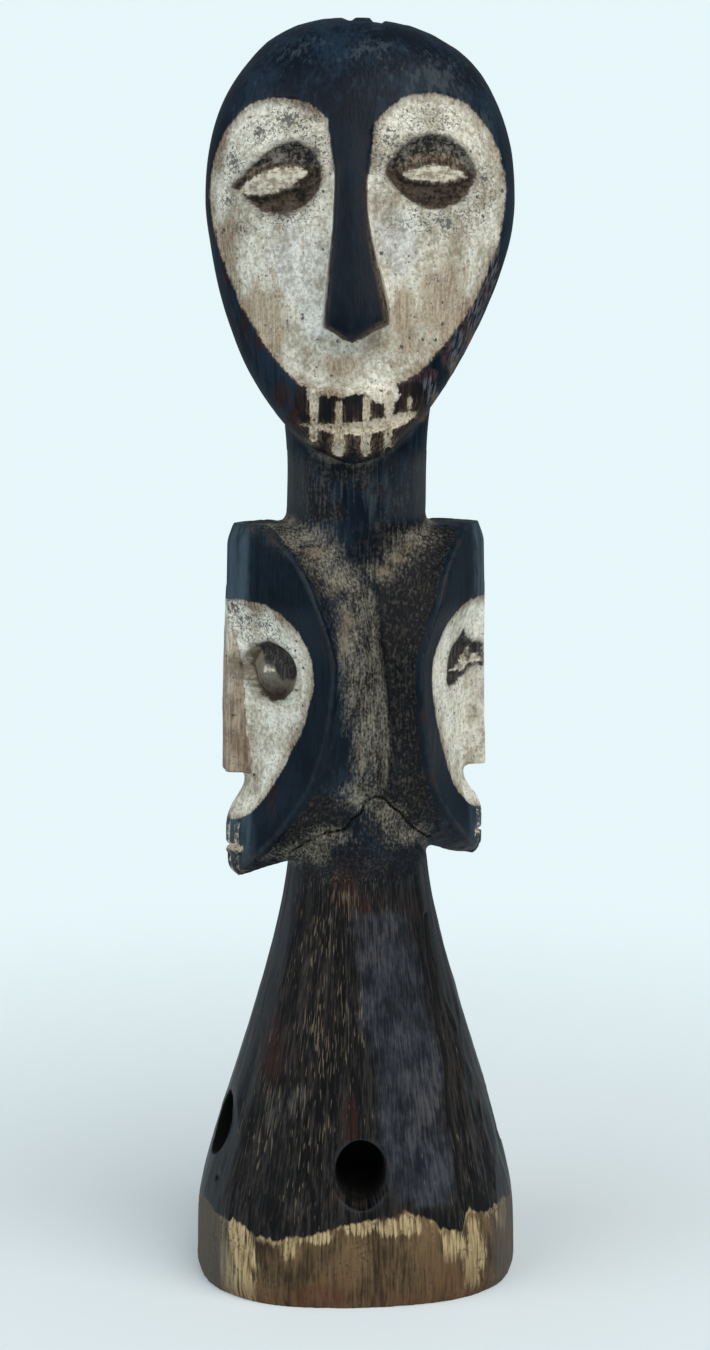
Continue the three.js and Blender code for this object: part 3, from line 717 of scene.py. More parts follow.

# Worn places and painted sheen
# Where the clay is rubbed through or flaked, where the rims are worn to brown and gold, where
# dust has settled, and where sheen is painted on the forehead and neck and a highlight on the
# right jaw rim, as middles and reaches on the front of the figure.
wear_and_sheen_places = {
    "tan": [(20.5, 233, 8, 13), (22, 225, 5, 8), (11, 231, 4, 10), (-20.5, 229, 6.5, 13), (-4, 219.5, 5, 3.5),
            (-29.5, 248, 3, 9)],
    "cool": [(-13, 243, 9, 13), (9.5, 247, 6, 11), (-9, 231, 4, 9)],
    "flaked": [(-24, 160, 6, 4), (-17, 152, 2.6, 3), (-29, 163, 3, 3), (29, 160, 3, 3), (-21.7, 272.3, 3.4, 3), (-27.8, 265.9, 3, 3.6), (-14.4, 274.3, 6, 4), (-16.1, 253.2, 5, 2.4),
               (-10.8, 254.3, 2.4, 2.6), (-28.7, 256.6, 2, 2.2), (-25.6, 250.7, 3, 1.6), (16.9, 274.6, 6, 3.4),
               (8.4, 268.9, 5, 4.4), (29.5, 262.2, 2.2, 2.2), (29.2, 257.1, 3.4, 2.6), (5.6, 265, 1.8, 4.5),
               (20, 252, 9, 3), (-9, 268, 4, 5)],
    "gilded": [(15.4, 208.6, 2, 3), (18.5, 212, 1.6, 3), (22.5, 219, 1.5, 4), (26.5, 226, 1.3, 5)],
    "purple": [(12.3, 213.6, 3.4, 4.8), (16.2, 217.6, 4, 2.4), (21, 223, 1.8, 5), (25.4, 231, 2.2, 8),
               (29.5, 240, 2, 8), (32.2, 249, 1.6, 6)],
    # Painted highlight: pale streaks along the right jaw rim
    "scratched": [(24, 223, 2.6, 6), (28, 232, 2.6, 8), (31.6, 242, 2.2, 9), (17, 213, 2.4, 4)],
    "reddish": [(-13, 207, 3.6, 6), (-17, 213, 3, 4), (-24.5, 233, 2.8, 9), (-29, 243, 2.6, 8), (-32.5, 251, 1.6, 6),
                (-22, 226, 2, 5), (29.5, 127, 0.6, 8), (-19.5, 122, 1.6, 12), (-18, 134, 1.4, 8), (-6.7, 207.4, 1.6, 1.5),
                (-0.7, 207.4, 2.4, 1.4), (5, 207.4, 1.6, 1.6), (-2.5, 98, 4, 7), (1.5, 91, 2.6, 9), (-5, 201.6, 4, 2.4),
                (-1, 43, 3, 7), (-6, 201, 3, 2), (6, 201.5, 2, 3), (-9, 3, 9, 4), (-20, 60, 5, 12)],
    "tan_wood": [(-27.4, 10, 4.4, 13), (28, 10, 4.2, 13), (22.6, 14, 2.4, 6), (10, 19.5, 6, 3),
                 (-9, 17.6, 7, 2.2), (35, 17, 2, 5), (1, 20, 4, 3), (-16, 14, 2, 4)],
    "settled": [(14, 179.5, 6, 3.4), (10, 175.5, 5.4, 3), (6, 172, 5, 3), (-13, 180, 8, 4.6), (-8, 175.5, 6.4, 4.4),
                (-3, 171, 6.4, 5), (0.4, 164, 5, 8), (-1, 156, 4.4, 8), (1, 146, 4.6, 16), (2.8, 130, 4.2, 18),
                (2, 120, 6.4, 5), (-19, 183, 9, 3), (-14, 105.5, 9, 3.4), (-6, 110, 7, 3), (13, 109.5, 6.4, 3.4),
                (8, 115, 5, 4)],
    "golden": [(12, 177.4, 2.6, 1.4), (9.6, 175, 2.6, 1.4), (6.6, 172.6, 2.6, 1.4), (-5, 168, 1.6, 2), (-2, 161, 2, 3),
               (-3, 156, 1.2, 3), (0.5, 131, 1, 3), (-9.5, 177, 3, 1.3)],
    "scuffed": [(6, 87.5, 9, 4), (4, 82, 5, 4), (-19, 44, 6, 7), (-14, 49, 6, 4), (29, 52, 4, 30), (16, 46, 7, 12)],
    # Painted sheen: lighter patches on the forehead and the neck
    "brushed": [(18, 284, 11, 7), (29, 274, 4, 9), (2, 291, 9, 4), (-12, 291, 6, 4), (6, 191, 8, 8), (-14, 191, 3, 9)],
    "fibrous": [(15, 172, 12, 14), (-8, 64, 9, 40), (12, 150, 9, 16), (12, 126, 8, 18), (-16, 168, 8, 12),
                (-12, 112, 10, 7), (-16, 42, 12, 16), (-3, 96, 12, 10)],
}


flat_cut = np.array([(-0.5, 92), (13, 92), (16.8, 80), (19.6, 62), (22.8, 38), (23.4, 24), (7.5, 24), (6, 36), (5.2, 46),
                     (3, 62), (0, 76)], float)


def wear_and_sheen(points):
    """How deep each point lies in the worn places and painted sheen places of the front: 1 at a middle, 0 at its reach.
    """
    flat = turned(points, -head_turn)
    x, y, z = flat.T
    front = smooth(-y, 4, 9)
    found = {}
    for name, places in wear_and_sheen_places.items():
        depth = np.full(len(points), -1.0)
        for across, height, reach_across, reach_up in places:
            depth = np.maximum(depth, 1 - np.hypot((x - across) / reach_across, (z - height) / reach_up))
        found[name] = np.where(front > 0, depth, -1.0) * front - (1 - front)
    found["flat_cut"] = np.where(front > 0, depth_inside(flat_cut, x, z), -20)
    return found


for name, value in wear_and_sheen(points).items():
    mesh.attributes.new(name, "FLOAT", "POINT").data.foreach_set("value", value.astype(np.float32))
move_points(mesh, points * MM)
mesh.shade_smooth()

# The finish
# Black patina rubbed to a soft sheen on the heads, dusty and worn brown on the foot and in the
# valley, white clay on the faces with the wood showing through it, and bare wood at the bottom.
# Sheen on side-facing flanks, rims, edges and a few patches, and a highlight on the right jaw rim,
# are painted into the colour.


class Value:
    """A number that changes over the surface. Arithmetic on it adds Math nodes."""

    def __init__(self, socket):
        self.socket = socket

    def math(self, operation, *terms):
        node = self.socket.id_data.nodes.new("ShaderNodeMath")
        node.operation = operation
        for term, place in zip(terms, node.inputs):
            plug(term, place)
        return Value(node.outputs[0])

    def __add__(self, other):
        return self.math("ADD", self, other)

    def __sub__(self, other):
        return self.math("SUBTRACT", self, other)

    def __rsub__(self, other):
        return self.math("SUBTRACT", other, self)

    def __mul__(self, other):
        return self.math("MULTIPLY", self, other)

    __radd__ = __add__
    __rmul__ = __mul__

    def most(self, other):
        return self.math("MAXIMUM", self, other)

    def least(self, other):
        return self.math("MINIMUM", self, other)

    def size(self):
        return self.math("ABSOLUTE", self)


def plug(term, place):
    """Links a value to a socket, or sets the socket to a plain number or colour."""
    if isinstance(term, Value):
        place.id_data.links.new(term.socket, place)
    else:
        place.default_value = term


class Finish:
    """A material, with one method that adds a node."""

    def __init__(self, name):
        self.material = bpy.data.materials.new(name)
        self.material.use_nodes = True
        self.material.node_tree.nodes.clear()

    def node(self, kind, settings=None, sockets=None, output=0):
        made = self.material.node_tree.nodes.new(kind)
        for name, value in (settings or {}).items():
            if name == "stops":
                ramp = made.color_ramp
                for place, colour in value[len(ramp.elements):]:
                    ramp.elements.new(place)
                for element, (place, colour) in zip(ramp.elements, value):
                    element.position, element.color = place, (*colour, 1)
            else:
                setattr(made, name, value)
        for name, value in (sockets or {}).items():
            plug(value, made.inputs[name])
        return Value(made.outputs[output]) if made.outputs else made

    def mark(self, name):
        return self.node("ShaderNodeAttribute", {"attribute_name": name}, output="Fac")

    def step(self, value, low, high):
        """0 below low, 1 above high and smooth between them."""
        return self.node("ShaderNodeMapRange", {"interpolation_type": "SMOOTHSTEP"},
                         {"Value": value, "From Min": low, "From Max": high})

    def spread(self, size, seed, place=None):
        scale = tuple(1 / (s * MM) for s in size)
        return self.node("ShaderNodeMapping", {}, {
            "Vector": place or self.place, "Scale": scale, "Location": (seed * 3.7, seed * 5.1, seed * 2.3)})

    def noise(self, size, detail=3, seed=0, rough=0.55, place=None):
        """Noise from 0 to 1 whose lumps have this size along x, y and z in millimetres."""
        return self.node("ShaderNodeTexNoise", {}, {
            "Vector": self.spread(size, seed, place), "Scale": 1.0, "Detail": detail, "Roughness": rough}, "Fac")

    def grain(self, width, length, detail=3, seed=0, rough=0.55):
        """Noise drawn out along the wood, which keeps to the sloping sides of the foot."""
        return self.noise((width, width, length), detail, seed, rough, self.on_trunk)

    def dots(self, size, seed, ragged, share):
        """Spots of uneven sizes in this share of the cells: above 0 inside, highest in the middle."""
        cells = self.node("ShaderNodeTexVoronoi", {}, {"Vector": self.spread(size, seed), "Scale": 1.0})
        tint = Value(cells.socket.node.outputs["Color"])
        chance = self.node("ShaderNodeSeparateColor", {}, {"Color": tint}, "Red")
        reach = (chance - (1 - share)) * (0.36 / share)
        return (reach - cells + ragged).least(reach * 2)

    def mix(self, share, first, second):
        first, second = ((*c, 1) if isinstance(c, tuple) else c for c in (first, second))
        return self.node("ShaderNodeMix", {"data_type": "RGBA"}, {0: share, 6: first, 7: second}, 2)


wood = Finish("blackened_wood")
wood.place = wood.node("ShaderNodeTexCoord", output="Object")
x = wood.node("ShaderNodeSeparateXYZ", {}, {"Vector": wood.place}, "X") * (1 / MM)
z = wood.node("ShaderNodeSeparateXYZ", {}, {"Vector": wood.place}, "Z") * (1 / MM)
outward = wood.node("ShaderNodeVectorMath", {"operation": "MULTIPLY"}, {0: wood.place, 1: (1, 1, 0)})
outward = wood.node("ShaderNodeVectorMath", {"operation": "NORMALIZE"}, {0: outward})
upward = wood.node("ShaderNodeVectorMath", {"operation": "MULTIPLY"}, {0: wood.place, 1: (0, 0, 1)})
trunk = wood.node("ShaderNodeVectorMath", {"operation": "MULTIPLY_ADD"}, {
    0: outward, 1: (0.028, 0.028, 0), 2: upward})
wood.on_trunk = wood.node("ShaderNodeMix", {"data_type": "VECTOR"}, {
    0: wood.step(z, 98, 112), 4: trunk, 5: wood.place}, 1)
mark, step, noise, grain, mix = wood.mark, wood.step, wood.noise, wood.grain, wood.mix

fibre = grain(0.5, 9, 4, 1)
streak = grain(2.6, 30, 3, 2)
blotch = noise((10, 10, 15), 3, 3)
patch = noise((4.5, 4.5, 6), 4, 4, 0.6)
speck = noise((0.6, 0.6, 0.8), 3, 5, 0.6)
mottle = noise((0.95, 0.95, 1.1), 3, 15, 0.65)
grit = noise((0.28, 0.28, 0.4), 2, 6)
brush = grain(0.9, 16, 3, 7)

# Black patina, blue-black and smooth above, browner and duller on the foot. Painted sheen lightens
# the small heads' outer rims, the neck's sides and patches of the forehead and neck, and the right
# side of the neck is painted lighter.
on_foot = 1 - step(z + (patch - 0.5) * 12, 94, 112)
on_head = step(z, 196, 202)
side_face = mark("side_face")
black = mix(step(brush * 0.8 + patch * 0.3 + (blotch - 0.5) * 1.1, 0.38, 0.74), (0.0002, 0.0040, 0.0110), (0.0080, 0.0210, 0.0380))
# Lighter blue-grey streaks in the black: random streaks, and a painted sheen in the listed sheen patches on the
# forehead and neck
streaks_and_sheen = step(streak + (brush - 0.5) * 0.8 + mark("brushed").most(-0.2) * 0.34, 0.60, 0.84)
black = mix(streaks_and_sheen * 0.85, black, mix(fibre, (0.008, 0.017, 0.026), (0.056, 0.073, 0.088)))
# Painted sheen: the outer upright facets of the small heads' rims are made lighter grey-blue in streaks
on_rim = step(mark("outer"), 25.5, 28) * step(z, 99, 103) * (1 - step(z, 182.5, 184))
black = mix(on_rim * step(streak + (patch - 0.5) * 0.5, 0.20, 0.65) * 0.9, black, (0.058, 0.090, 0.116))
black = mix(step(mark("nose"), -0.4, 0.2) * 0.75, black, mix(streak, (0.0004, 0.0024, 0.0070), (0.0030, 0.0080, 0.0150)))
black = mix(side_face * (1 - on_rim) * 0.7, black, mix(blotch, (0.0003, 0.0034, 0.0085), (0.0024, 0.0095, 0.0180)))
neck = step(z, 182, 186) * (1 - on_head)
hair = grain(0.5, 5, 3, 16, 0.65)
black = mix(neck * step(blotch + (patch - 0.5) * 1.0, 0.42, 0.58) * 0.85, black, mix(streak, (0.0012, 0.0012, 0.0016),
                                                                                     (0.0120, 0.0085, 0.0075)))
black = mix(neck * step(hair + (speck - 0.5) * 0.8 + (blotch - 0.5) * 1.0, 0.50, 0.76) * 0.65, black, (0.070, 0.072, 0.073))
# Painted light: the right side of the neck is lighter, as if lit from the right
black = mix(neck * step(x + (patch - 0.5) * 12, 0, 10) * 0.5, black, mix(streak, (0.004, 0.008, 0.012), (0.046, 0.058, 0.070)))
# Painted sheen: the side-facing planes of the neck are made lighter grey
black = mix(neck * step(mark("sideways"), 0.45, 0.85) * 0.6, black, (0.046, 0.052, 0.056))
brown = mix(step(streak * 0.5 + hair * 0.9, 0.60, 0.90), (0.0008, 0.0010, 0.0016), (0.030, 0.025, 0.023))
colour = mix(on_foot, black, brown)
reddish = step(mark("reddish") + (patch - 0.5) * 1.1 + (fibre - 0.5) * 0.9, 0.0, 0.75)
colour = mix(reddish * 0.75, colour, mix(step(fibre, 0.35, 0.65), (0.010, 0.004, 0.003), (0.040, 0.013, 0.008)))

# Grey scuffs, dust in the hollows, painted blue-grey sheen on the side-facing flanks of the foot, and proud edges
# partly rubbed reddish and partly given a painted blue-grey sheen
fine_hollow, wide_hollow = mark("fine_hollow"), mark("wide_hollow")
on_cut = step(mark("flat_cut") + (patch - 0.5) * 5 + (blotch - 0.5) * 6, -0.8, 2.2)
colour = mix(on_cut * 0.8, colour, mix(step(patch * 0.6 + blotch * 0.5 + (hair - 0.5) * 0.7, 0.40, 0.84),
                                       (0.007, 0.009, 0.014), (0.064, 0.070, 0.086)))
scuff = on_foot * step(blotch * 0.7 + patch * 0.4 + (hair - 0.5) * 1.0 + mark("scuffed").most(-0.3) * 0.32, 0.60, 1.0)
colour = mix(scuff * 0.65, colour, mix(patch, (0.048, 0.042, 0.040), (0.084, 0.082, 0.082)))
# Painted sheen: the side-facing flanks of the foot are made lighter blue-grey
colour = mix(on_foot * step(mark("sideways"), 0.72, 0.92) * 0.7, colour,
             mix(step(streak, 0.3, 0.7), (0.014, 0.017, 0.021), (0.044, 0.050, 0.058)))
in_valley = (1 - on_head) * (1 - on_foot) * (1 - neck) * (1 - side_face)
earthy = in_valley * step((blotch - 0.5) * 1.2 + mark("fibrous").most(-0.6) * 0.6 + (fibre - 0.5) * 0.7, -0.45, 0.1)
grain_dust = step(hair + (mottle - 0.5) * 0.9 + (speck - 0.5) * 0.5, 0.44, 0.74)
colour = mix(earthy * 0.9, colour, mix(grain_dust, (0.0030, 0.0030, 0.0036), (0.060, 0.053, 0.045)))
settled = step(mark("settled") * 0.9 + (blotch - 0.5) * 0.9 + (speck - 0.5) * 0.9 + (fibre - 0.5) * 0.9, -0.15, 0.8)
dusty = step(wide_hollow + (blotch - 0.5) * 0.5 + (speck - 0.5) * 0.3, 0.14, 0.8) * (1 - on_head * 0.7)
dusty = dusty.most(settled) * (1 - side_face * 0.8)
dust = mix(step(hair * 0.7 + fibre * 0.4 + (speck - 0.5) * 0.8 + (patch - 0.5) * 0.7, 0.32, 0.84), (0.014, 0.012, 0.011),
           (0.350, 0.325, 0.262))
dust = mix(step(patch + (speck - 0.5) * 0.9, 0.56, 0.80) * 0.4, dust, (0.22, 0.185, 0.120))
golden = step(mark("golden") + (patch - 0.5) * 1.2 + (hair - 0.5) * 1.6, -0.3, 0.6)
dust = mix(golden * 0.8, dust, mix(speck, (0.15, 0.115, 0.07), (0.34, 0.28, 0.185)))
colour = mix(dusty * 0.95, colour, dust)
# Proud edges: partly rubbed reddish, and partly a painted blue-grey sheen
rubbed_and_edge_sheen = step((patch - 0.5) * 0.26 + (fibre - 0.5) * 0.10 - fine_hollow, 0.05, 0.16)
colour = mix(rubbed_and_edge_sheen * (0.62 - on_head * 0.27), colour, mix(step(patch, 0.5, 0.66), (0.020, 0.030, 0.039), (0.040, 0.022, 0.016)))

# Worn rims of the large face, and a painted highlight streaked along its right jaw rim
streaky = step(fibre + (speck - 0.5) * 0.6, 0.36, 0.64)
gilded = step(mark("gilded") + (patch - 0.5) * 1.0, 0.1, 0.5)
colour = mix(gilded * 0.85, colour, mix(streaky, (0.036, 0.017, 0.008), (0.19, 0.108, 0.040)))
purple = step(mark("purple") + (patch - 0.5) * 0.9, 0.05, 0.30)
colour = mix(purple * 0.9, colour, mix(streaky, (0.013, 0.006, 0.008), (0.058, 0.038, 0.044)))
# Painted highlight: pale blue-grey streaks along the right jaw rim
scratched = step(mark("scratched") + (streak - 0.5) * 1.2, -0.2, 0.3) * step(brush + (fibre - 0.5) * 0.6, 0.44, 0.62)
colour = mix(scratched * 0.8, colour, (0.130, 0.135, 0.150))

# Pale open pores on the foot
pore = grain(0.30, 3.2, 0, 8)
open_pore = step(pore + (patch - 0.5) * 0.40 + (blotch - 0.5) * 0.26 + mark("fibrous").most(-0.4) * 0.14, 0.72, 0.82)
open_pore = open_pore * (on_foot * 0.95 + 0.05)
colour = mix(open_pore * 0.75, colour, mix(patch, (0.05, 0.038, 0.027), (0.22, 0.175, 0.115)))
colour = mix(step(mark("seam") + (fibre - 0.5) * 0.7, -0.35, 0.05) * 0.9, colour, (0.004, 0.0034, 0.0034))

# Bare wood below a ragged line at the foot
over_line = mark("bare") + (grain(4, 60, 2, 9) - 0.5) * 5 + (grain(0.9, 7, 2, 10) - 0.5) * 2.2
bare = step(over_line, 0, 0.7)
straw = grain(0.5, 7, 4, 11, 0.62)
tan_wood = mix(step(straw, 0.33, 0.65), (0.150, 0.098, 0.042), (0.50, 0.39, 0.215))
dull_wood = mix(step(straw * 0.8 + patch * 0.4 + (blotch - 0.5) * 0.8, 0.34, 0.86), (0.030, 0.018, 0.010), (0.185, 0.122, 0.060))
red_wood = mix(step(straw, 0.3, 0.7), (0.060, 0.022, 0.012), (0.13, 0.060, 0.030))
clean = step(grain(6, 30, 3, 12) + (straw - 0.5) * 0.5 + mark("tan_wood").most(-0.5) * 0.34, 0.55, 0.68)
clean = clean.most((1 - step(over_line, 0.5, 2.2)) * step(patch, 0.44, 0.60))
foot_wood = mix(clean, dull_wood, tan_wood)
foot_wood = mix(step(mark("reddish") + (patch - 0.5) * 0.9 + (straw - 0.5) * 0.6, 0.0, 0.4) * 0.7, foot_wood, red_wood)
foot_wood = mix(step(blotch + (straw - 0.5) * 0.6 - z * 0.02, 0.30, 0.52) * 0.5, foot_wood, red_wood)
# Painted sheen: side-facing bare wood is made lighter grey
foot_wood = mix(step(mark("sideways"), 0.6, 0.85) * 0.75, foot_wood, (0.080, 0.072, 0.062))
foot_wood = mix(step(speck + (patch - 0.5) * 0.7, 0.58, 0.72) * 0.6, foot_wood, (0.026, 0.018, 0.013))
colour = mix(bare, colour, foot_wood)

# White clay, rubbed through in places, with fine dark pits and a brown fringe along its edge
groove, nose, eye, lens = (mark(name) for name in ("groove", "nose", "eye", "lens"))
ragged = (speck - 0.5) * 0.9 + (fibre - 0.5) * 0.5 + (patch - 0.5) * (1.8 + on_head * (1 - step(z, 212, 218)) * 6)
clay_in = mark("heart").least(-1.0 * nose - 0.2) + ragged
painted = step(clay_in, -0.15, 0.45)
fringe = 1 - step(clay_in + (blotch - 0.5) * 8 + (speck - 0.5) * 1.5, -0.6, 3.4)
cloud = step(patch * 0.6 + mottle * 0.8 + (blotch - 0.5) * 0.4 + side_face * 0.04, 0.50, 0.88)
cream = mix(cloud, (0.40, 0.362, 0.270), (0.86, 0.845, 0.74))
cream = mix(step(mark("cool") + (patch - 0.5) * 1.2, 0.0, 0.5) * 0.7, cream,
            mix(cloud, (0.41, 0.410, 0.385), (0.84, 0.850, 0.81)))
worn_through = step(mark("tan") * 0.9 + (patch - 0.5) * 1.8 + (mottle - 0.5) * 1.0 + (fibre - 0.5) * 0.9, 0.14, 0.36)
worn_through = worn_through.most(step(blotch + (fibre - 0.5) * 0.8 + (speck - 0.5) * 0.4, 0.66, 0.76) * 0.8)
tan = mix(streaky, (0.26, 0.185, 0.115), (0.50, 0.40, 0.275))
clay = mix(worn_through * 0.8, cream, tan)
nose_wall = step(mark("small_nose") + (patch - 0.5) * 1.2, -0.9, 0.5)
nose_wall = nose_wall * step(hair * 0.8 + patch * 0.8 + (150 - z) * 0.012, 0.44, 0.96) * (1 - step(x, 0, 4) * 0.75)
clay = mix(nose_wall * 0.85, clay, mix(step(fibre + (patch - 0.5) * 1.2, 0.3, 0.7), (0.120, 0.064, 0.038),
                                       (0.36, 0.265, 0.175)))
clay = mix(fringe * 0.8, clay, mix(streaky, (0.080, 0.044, 0.024), (0.29, 0.205, 0.125)))
pits = step(wood.dots((0.9, 0.9, 1.0), 1, (speck - 0.5) * 0.6, 0.6), 0.0, 0.12)
clay = mix(pits * 0.6, clay, (0.16, 0.145, 0.120))
holes = step(wood.dots((1.6, 1.6, 1.4), 2, (speck - 0.5) * 0.9, 0.22), 0.02, 0.10)
holes = holes.most(side_face * step(hair + (patch - 0.5) * 0.3, 0.68, 0.74) * 0.8)
clay = mix(holes * 0.85, clay, (0.055, 0.052, 0.050))
pits = pits.most(holes)
flake_depth = mark("flaked").most(-1.0)
crazed = 1 - step((noise((1.7, 1.7, 1.3), 3, 13) - 0.5).size(), 0.008, 0.030)
flaked = step(flake_depth * 0.26 + mottle + (patch - 0.5) * 0.5, 0.68, 0.74)
flaked = flaked.most(crazed * step(flake_depth + (patch - 0.5) * 1.6, -0.7, 0.1) * 0.9)
flaked = flaked.most(crazed * step(patch + (speck - 0.5) * 0.8, 0.50, 0.62) * 0.55)
clay = mix(flaked * 0.85, clay, mix(speck, (0.018, 0.018, 0.020), (0.075, 0.076, 0.080)))
colour = mix(painted, colour, clay)

# Eyes rubbed dark inside, brown above the lens, with a white lens
smear = noise((2.6, 2.6, 0.9), 4, 14, 0.65)
smudge = step(eye + (smear - 0.5) * 4 + (patch - 0.5) * 2, -1.6, 0.6)
colour = mix(smudge * painted * 0.6, colour, (0.115, 0.098, 0.078))
in_eye = step(eye + ragged * 0.8 + (smear - 0.5) * 2 + (mottle - 0.5) * 1.4, -0.1, 0.6)
upper = step(z + (patch - 0.5) * 3, 262.5, 265).most(step(z, 151, 153) * (1 - on_head))
lid = mix(step(smear + (mottle - 0.5) * 1.4 + (patch - 0.5) * 1.4, 0.34, 0.84), (0.016, 0.015, 0.014),
          (0.200, 0.185, 0.155))
under = mix(step(smear * 0.6 + patch * 0.7 + (mottle - 0.5) * 0.8, 0.42, 0.92), (0.012, 0.009, 0.007),
            (0.115, 0.088, 0.064))
olive = mix(step(z + (patch - 0.5) * 8 + (mottle - 0.5) * 5, 142, 148), (0.040, 0.029, 0.021), (0.20, 0.168, 0.118))
under = mix(on_head, olive, under)
upper = upper * on_head
colour = mix(in_eye, colour, mix(upper, under, lid))
bean_colour = mix(step(fibre + (mottle - 0.5) * 0.9, 0.32, 0.72), (0.045, 0.030, 0.020), (0.26, 0.205, 0.145))
ball_colour = mix(step(z + (patch - 0.5) * 8 + (speck - 0.5) * 6, 143.5, 149.5), (0.046, 0.034, 0.026),
                  (0.20, 0.185, 0.155))
bean_colour = mix(on_head, ball_colour, bean_colour)
colour = mix(step(mark("bean") + (mottle - 0.5) * 0.6, 0.30, 0.72) * 0.8, colour, bean_colour)
ring = (1 - step((eye - 0.9 + (patch - 0.5) * 2).size(), 0.1, 0.5)) * (1 - on_head) * painted
colour = mix(ring * 0.7, colour, (0.036, 0.024, 0.016))
dark_part = step(mark("dark_part") + (patch - 0.5) * 2.6 + (speck - 0.5) * 1.6, -0.4, 0.4)
colour = mix(dark_part * 0.95, colour, mix(step(hair + (mottle - 0.5) * 0.6, 0.36, 0.76), (0.016, 0.015, 0.015),
                                           (0.090, 0.082, 0.078)))
rim_line = (1 - step((lens + ragged * 0.5 + 0.55).size(), 0.1, 0.6)) * on_head * step(patch, 0.36, 0.56)
colour = mix(rim_line * step(eye, 0.2, 0.8) * 0.7, colour, (0.012, 0.009, 0.007))
white = mix(step(smear + (mottle - 0.5) * 0.8, 0.34, 0.66), (0.30, 0.25, 0.18), (0.68, 0.64, 0.53))
colour = mix(step(lens + ragged * 0.5 + (smear - 0.5) * 1.2 + (mottle - 0.5) * 1.2, 0.0, 0.6), colour, white)

# Clay rubbed into the mouth and tooth lines, with brown fading out beside them
soft = (speck - 0.5) * 0.8 + (fibre - 0.5) * 1.2 + (patch - 0.5) * 1.6
below_mouth = 1 - step(z, 202, 205)
beside = step(groove + soft * 1.4 + 0.9 + below_mouth * 0.8, 0.0, 1.5) * (1 - painted) * on_head
block = on_head * step(groove + 4, 0, 1) * (1 - painted)
colour = mix(block * 0.85, colour, mix(step(fibre + (patch - 0.5) * 0.6, 0.42, 0.64), (0.0045, 0.0035, 0.0040),
                                       (0.026, 0.012, 0.008)))
colour = mix(beside * 0.7, colour, mix(streaky, (0.040, 0.021, 0.012), (0.20, 0.14, 0.085)))
in_groove = step(groove + soft + (1 - on_head) * 0.12, -0.15, 0.30)
filled = mix(step(speck + (patch - 0.5) * 0.5, 0.36, 0.6), (0.33, 0.26, 0.165), (0.66, 0.60, 0.47))
colour = mix(in_groove * 0.95, colour, filled)
colour = mix(in_groove * step(wood.dots((1.2, 1.2, 1.4), 3, (speck - 0.5) * 0.5, 0.4), 0.02, 0.1) * 0.85,
             colour, (0.040, 0.025, 0.018))

# Crack, worm hole and the inside of the passages are black
dark = step(mark("crack") + (speck - 0.5) * 0.5, -0.1, 0.2).most(step(mark("worm"), 0, 0.3))
dark = dark.most(step(mark("bore"), 0.02, 0.12))
colour = mix(dark, colour, (0.002, 0.0018, 0.0018))

# Brown side of the nose where the black is rubbed away
nose_side = (1 - step(nose.size() + (fibre - 0.5) * 0.8, 0.3, 1.2)) * step(mark("heart"), -6, -5) * (1 - painted)
nose_side = nose_side * (1 - step(z, 260, 264)) * (step(x, 0, 2) * 0.8 + 0.2).most(1 - step(z, 227, 231))
colour = mix(nose_side * 0.65, colour, mix(streaky, (0.030, 0.015, 0.009), (0.15, 0.095, 0.055)))

chalky = painted.most(in_groove).most(step(lens, 0, 0.4))
roughness = (0.42 + (blotch - 0.5) * 0.3 + (brush - 0.5) * 0.2 + chalky * 0.42 + dusty * 0.3
             + on_foot * 0.08 + bare * 0.15 + dark * 0.5)
relief_height = ((fibre * 0.18 + brush * 0.08) * (1 - side_face * 0.6) + speck * 0.06 - open_pore * 0.14
                 + chalky * grit * 0.06 - pits * chalky * 0.16 + chalky * 0.08 - flaked * chalky * 0.10
                 + (earthy * 0.24 + dusty * 0.20) * grain_dust)
bump = wood.node("ShaderNodeBump", {}, {"Strength": 0.75, "Distance": MM, "Height": relief_height})
surface = wood.node("ShaderNodeBsdfPrincipled", {}, {
    "Base Color": colour, "Roughness": roughness, "Normal": bump, "IOR": 1.24})
wood.node("ShaderNodeOutputMaterial", {}, {"Surface": surface})

mesh.materials.clear()
mesh.materials.append(wood.material)
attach(figure, "root")
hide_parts("carved_figure")

# Floor, light and camera
# A pale floor that sweeps up into a pale backdrop all round, plain soft light from above in
# front, and a hand-held view from in front and a little above.
turns = 96
around = np.linspace(0, 2 * math.pi, turns, endpoint=False)


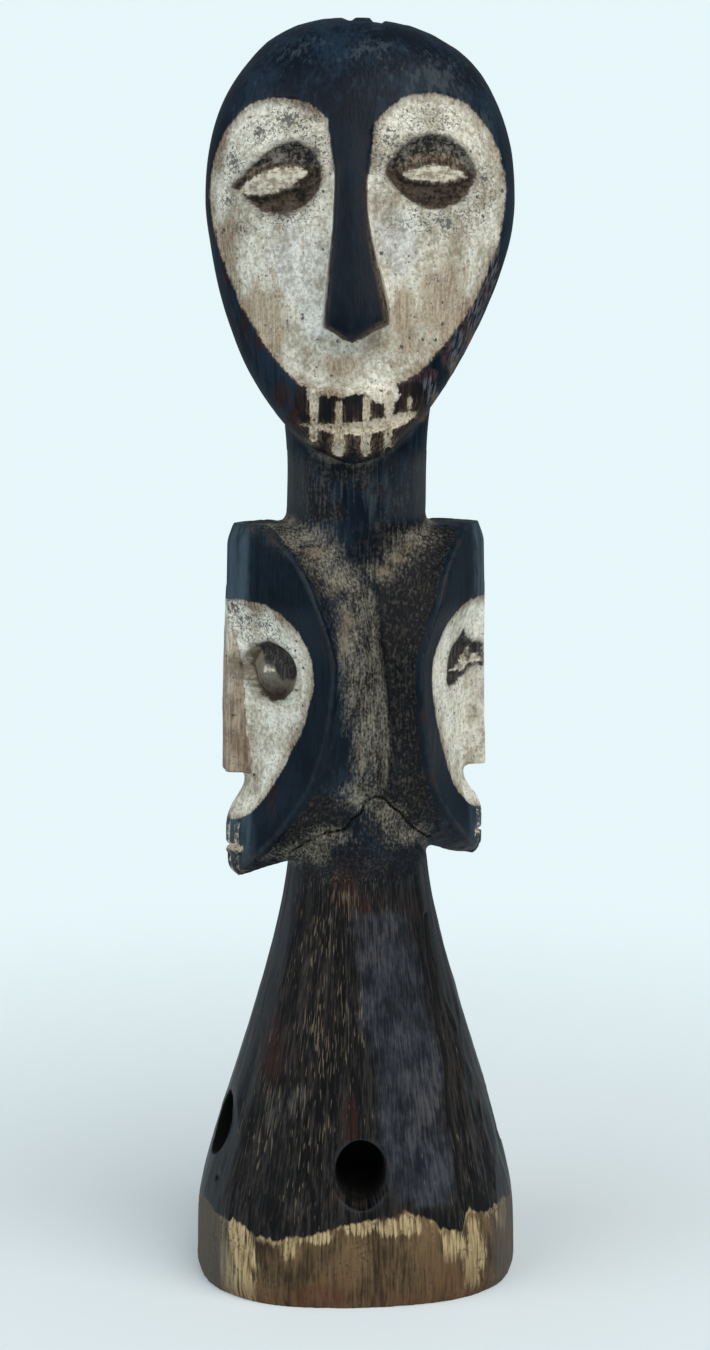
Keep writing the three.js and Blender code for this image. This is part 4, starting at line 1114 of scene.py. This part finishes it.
def swept(name, profile):
    """A surface swept round the upright axis through the profile's radii and heights."""
    points = [(r * math.cos(a), r * math.sin(a), h) for r, h in profile for a in around]
    faces = [(i * turns + j, i * turns + turns + j, i * turns + turns + (j + 1) % turns, i * turns + (j + 1) % turns)
             for i in range(len(profile) - 1) for j in range(turns)]
    mesh = bpy.data.meshes.new(name)
    mesh.from_pydata(points, [], faces)
    mesh.shade_smooth()
    made = bpy.data.objects.new(name, mesh)
    scene.collection.objects.link(made)
    pale = Finish(name)
    pale.place = pale.node("ShaderNodeTexCoord", output="Object")
    out = pale.node("ShaderNodeVectorMath", {"operation": "LENGTH"}, {0: pale.place}, "Value")
    lit = pale.node("ShaderNodeBsdfDiffuse", {}, {"Color": (0.84, 0.90, 0.92, 1)})
    glow = pale.node("ShaderNodeEmission", {}, {"Color": (0.80, 0.925, 0.96, 1), "Strength": 1.0})
    surface = pale.node("ShaderNodeMixShader", {}, {0: pale.step(out, -0.08, 0.42), 1: lit, 2: glow})
    pale.node("ShaderNodeOutputMaterial", {}, {"Surface": surface})
    mesh.materials.append(pale.material)
    return made


swept("pale_floor", [(0, 0), (0.15, 0), (0.3, 0), (0.45, 0)])
backdrop = swept("pale_backdrop", [(0.45, 0), (0.9, 0), (1.2, 0.05), (1.4, 0.3), (1.5, 0.7), (1.5, 2.6), (1.0, 3.4), (0, 3.6)])
backdrop.visible_diffuse = backdrop.visible_glossy = backdrop.visible_shadow = False


def lamp(name, place, size, power, colour):
    data = bpy.data.lights.new(name, "AREA")
    data.shape, data.size, data.energy, data.color = "DISK", size, power, colour
    made = bpy.data.objects.new(name, data)
    made.location = place
    made.rotation_euler = (middle - made.location).to_track_quat("-Z", "Y").to_euler()
    scene.collection.objects.link(made)


middle = (solid_low + solid_high) / 2
lamp("window", (0.50, -0.74, 0.95), 1.5, 14, (1.0, 0.985, 0.96))
lamp("left_fill", (-0.85, -0.45, 0.7), 1.2, 6, (0.90, 0.96, 1.0))

world = bpy.data.worlds.new("soft_sky")
scene.world = world
world.use_nodes = True
sky = world.node_tree.nodes["Background"]
sky.inputs["Color"].default_value = (0.80, 0.91, 0.96, 1)
sky.inputs["Strength"].default_value = 0.22
scene.view_settings.view_transform = "Standard"

from_axis = 0.545
eye_height = 0.2135
side_step = math.radians(-4)
pitch = math.atan2(675 - 393, 2275)
camera_data = bpy.data.cameras.new("camera")
camera_data.sensor_width = 36
camera_data.lens = 36 * 2275 / 1350
camera = bpy.data.objects.new("camera", camera_data)
camera.location = (from_axis * math.sin(side_step), -from_axis * math.cos(side_step), eye_height)
camera.rotation_euler = (math.pi / 2 - pitch, 0, side_step)
scene.collection.objects.link(camera)
scene.camera = camera
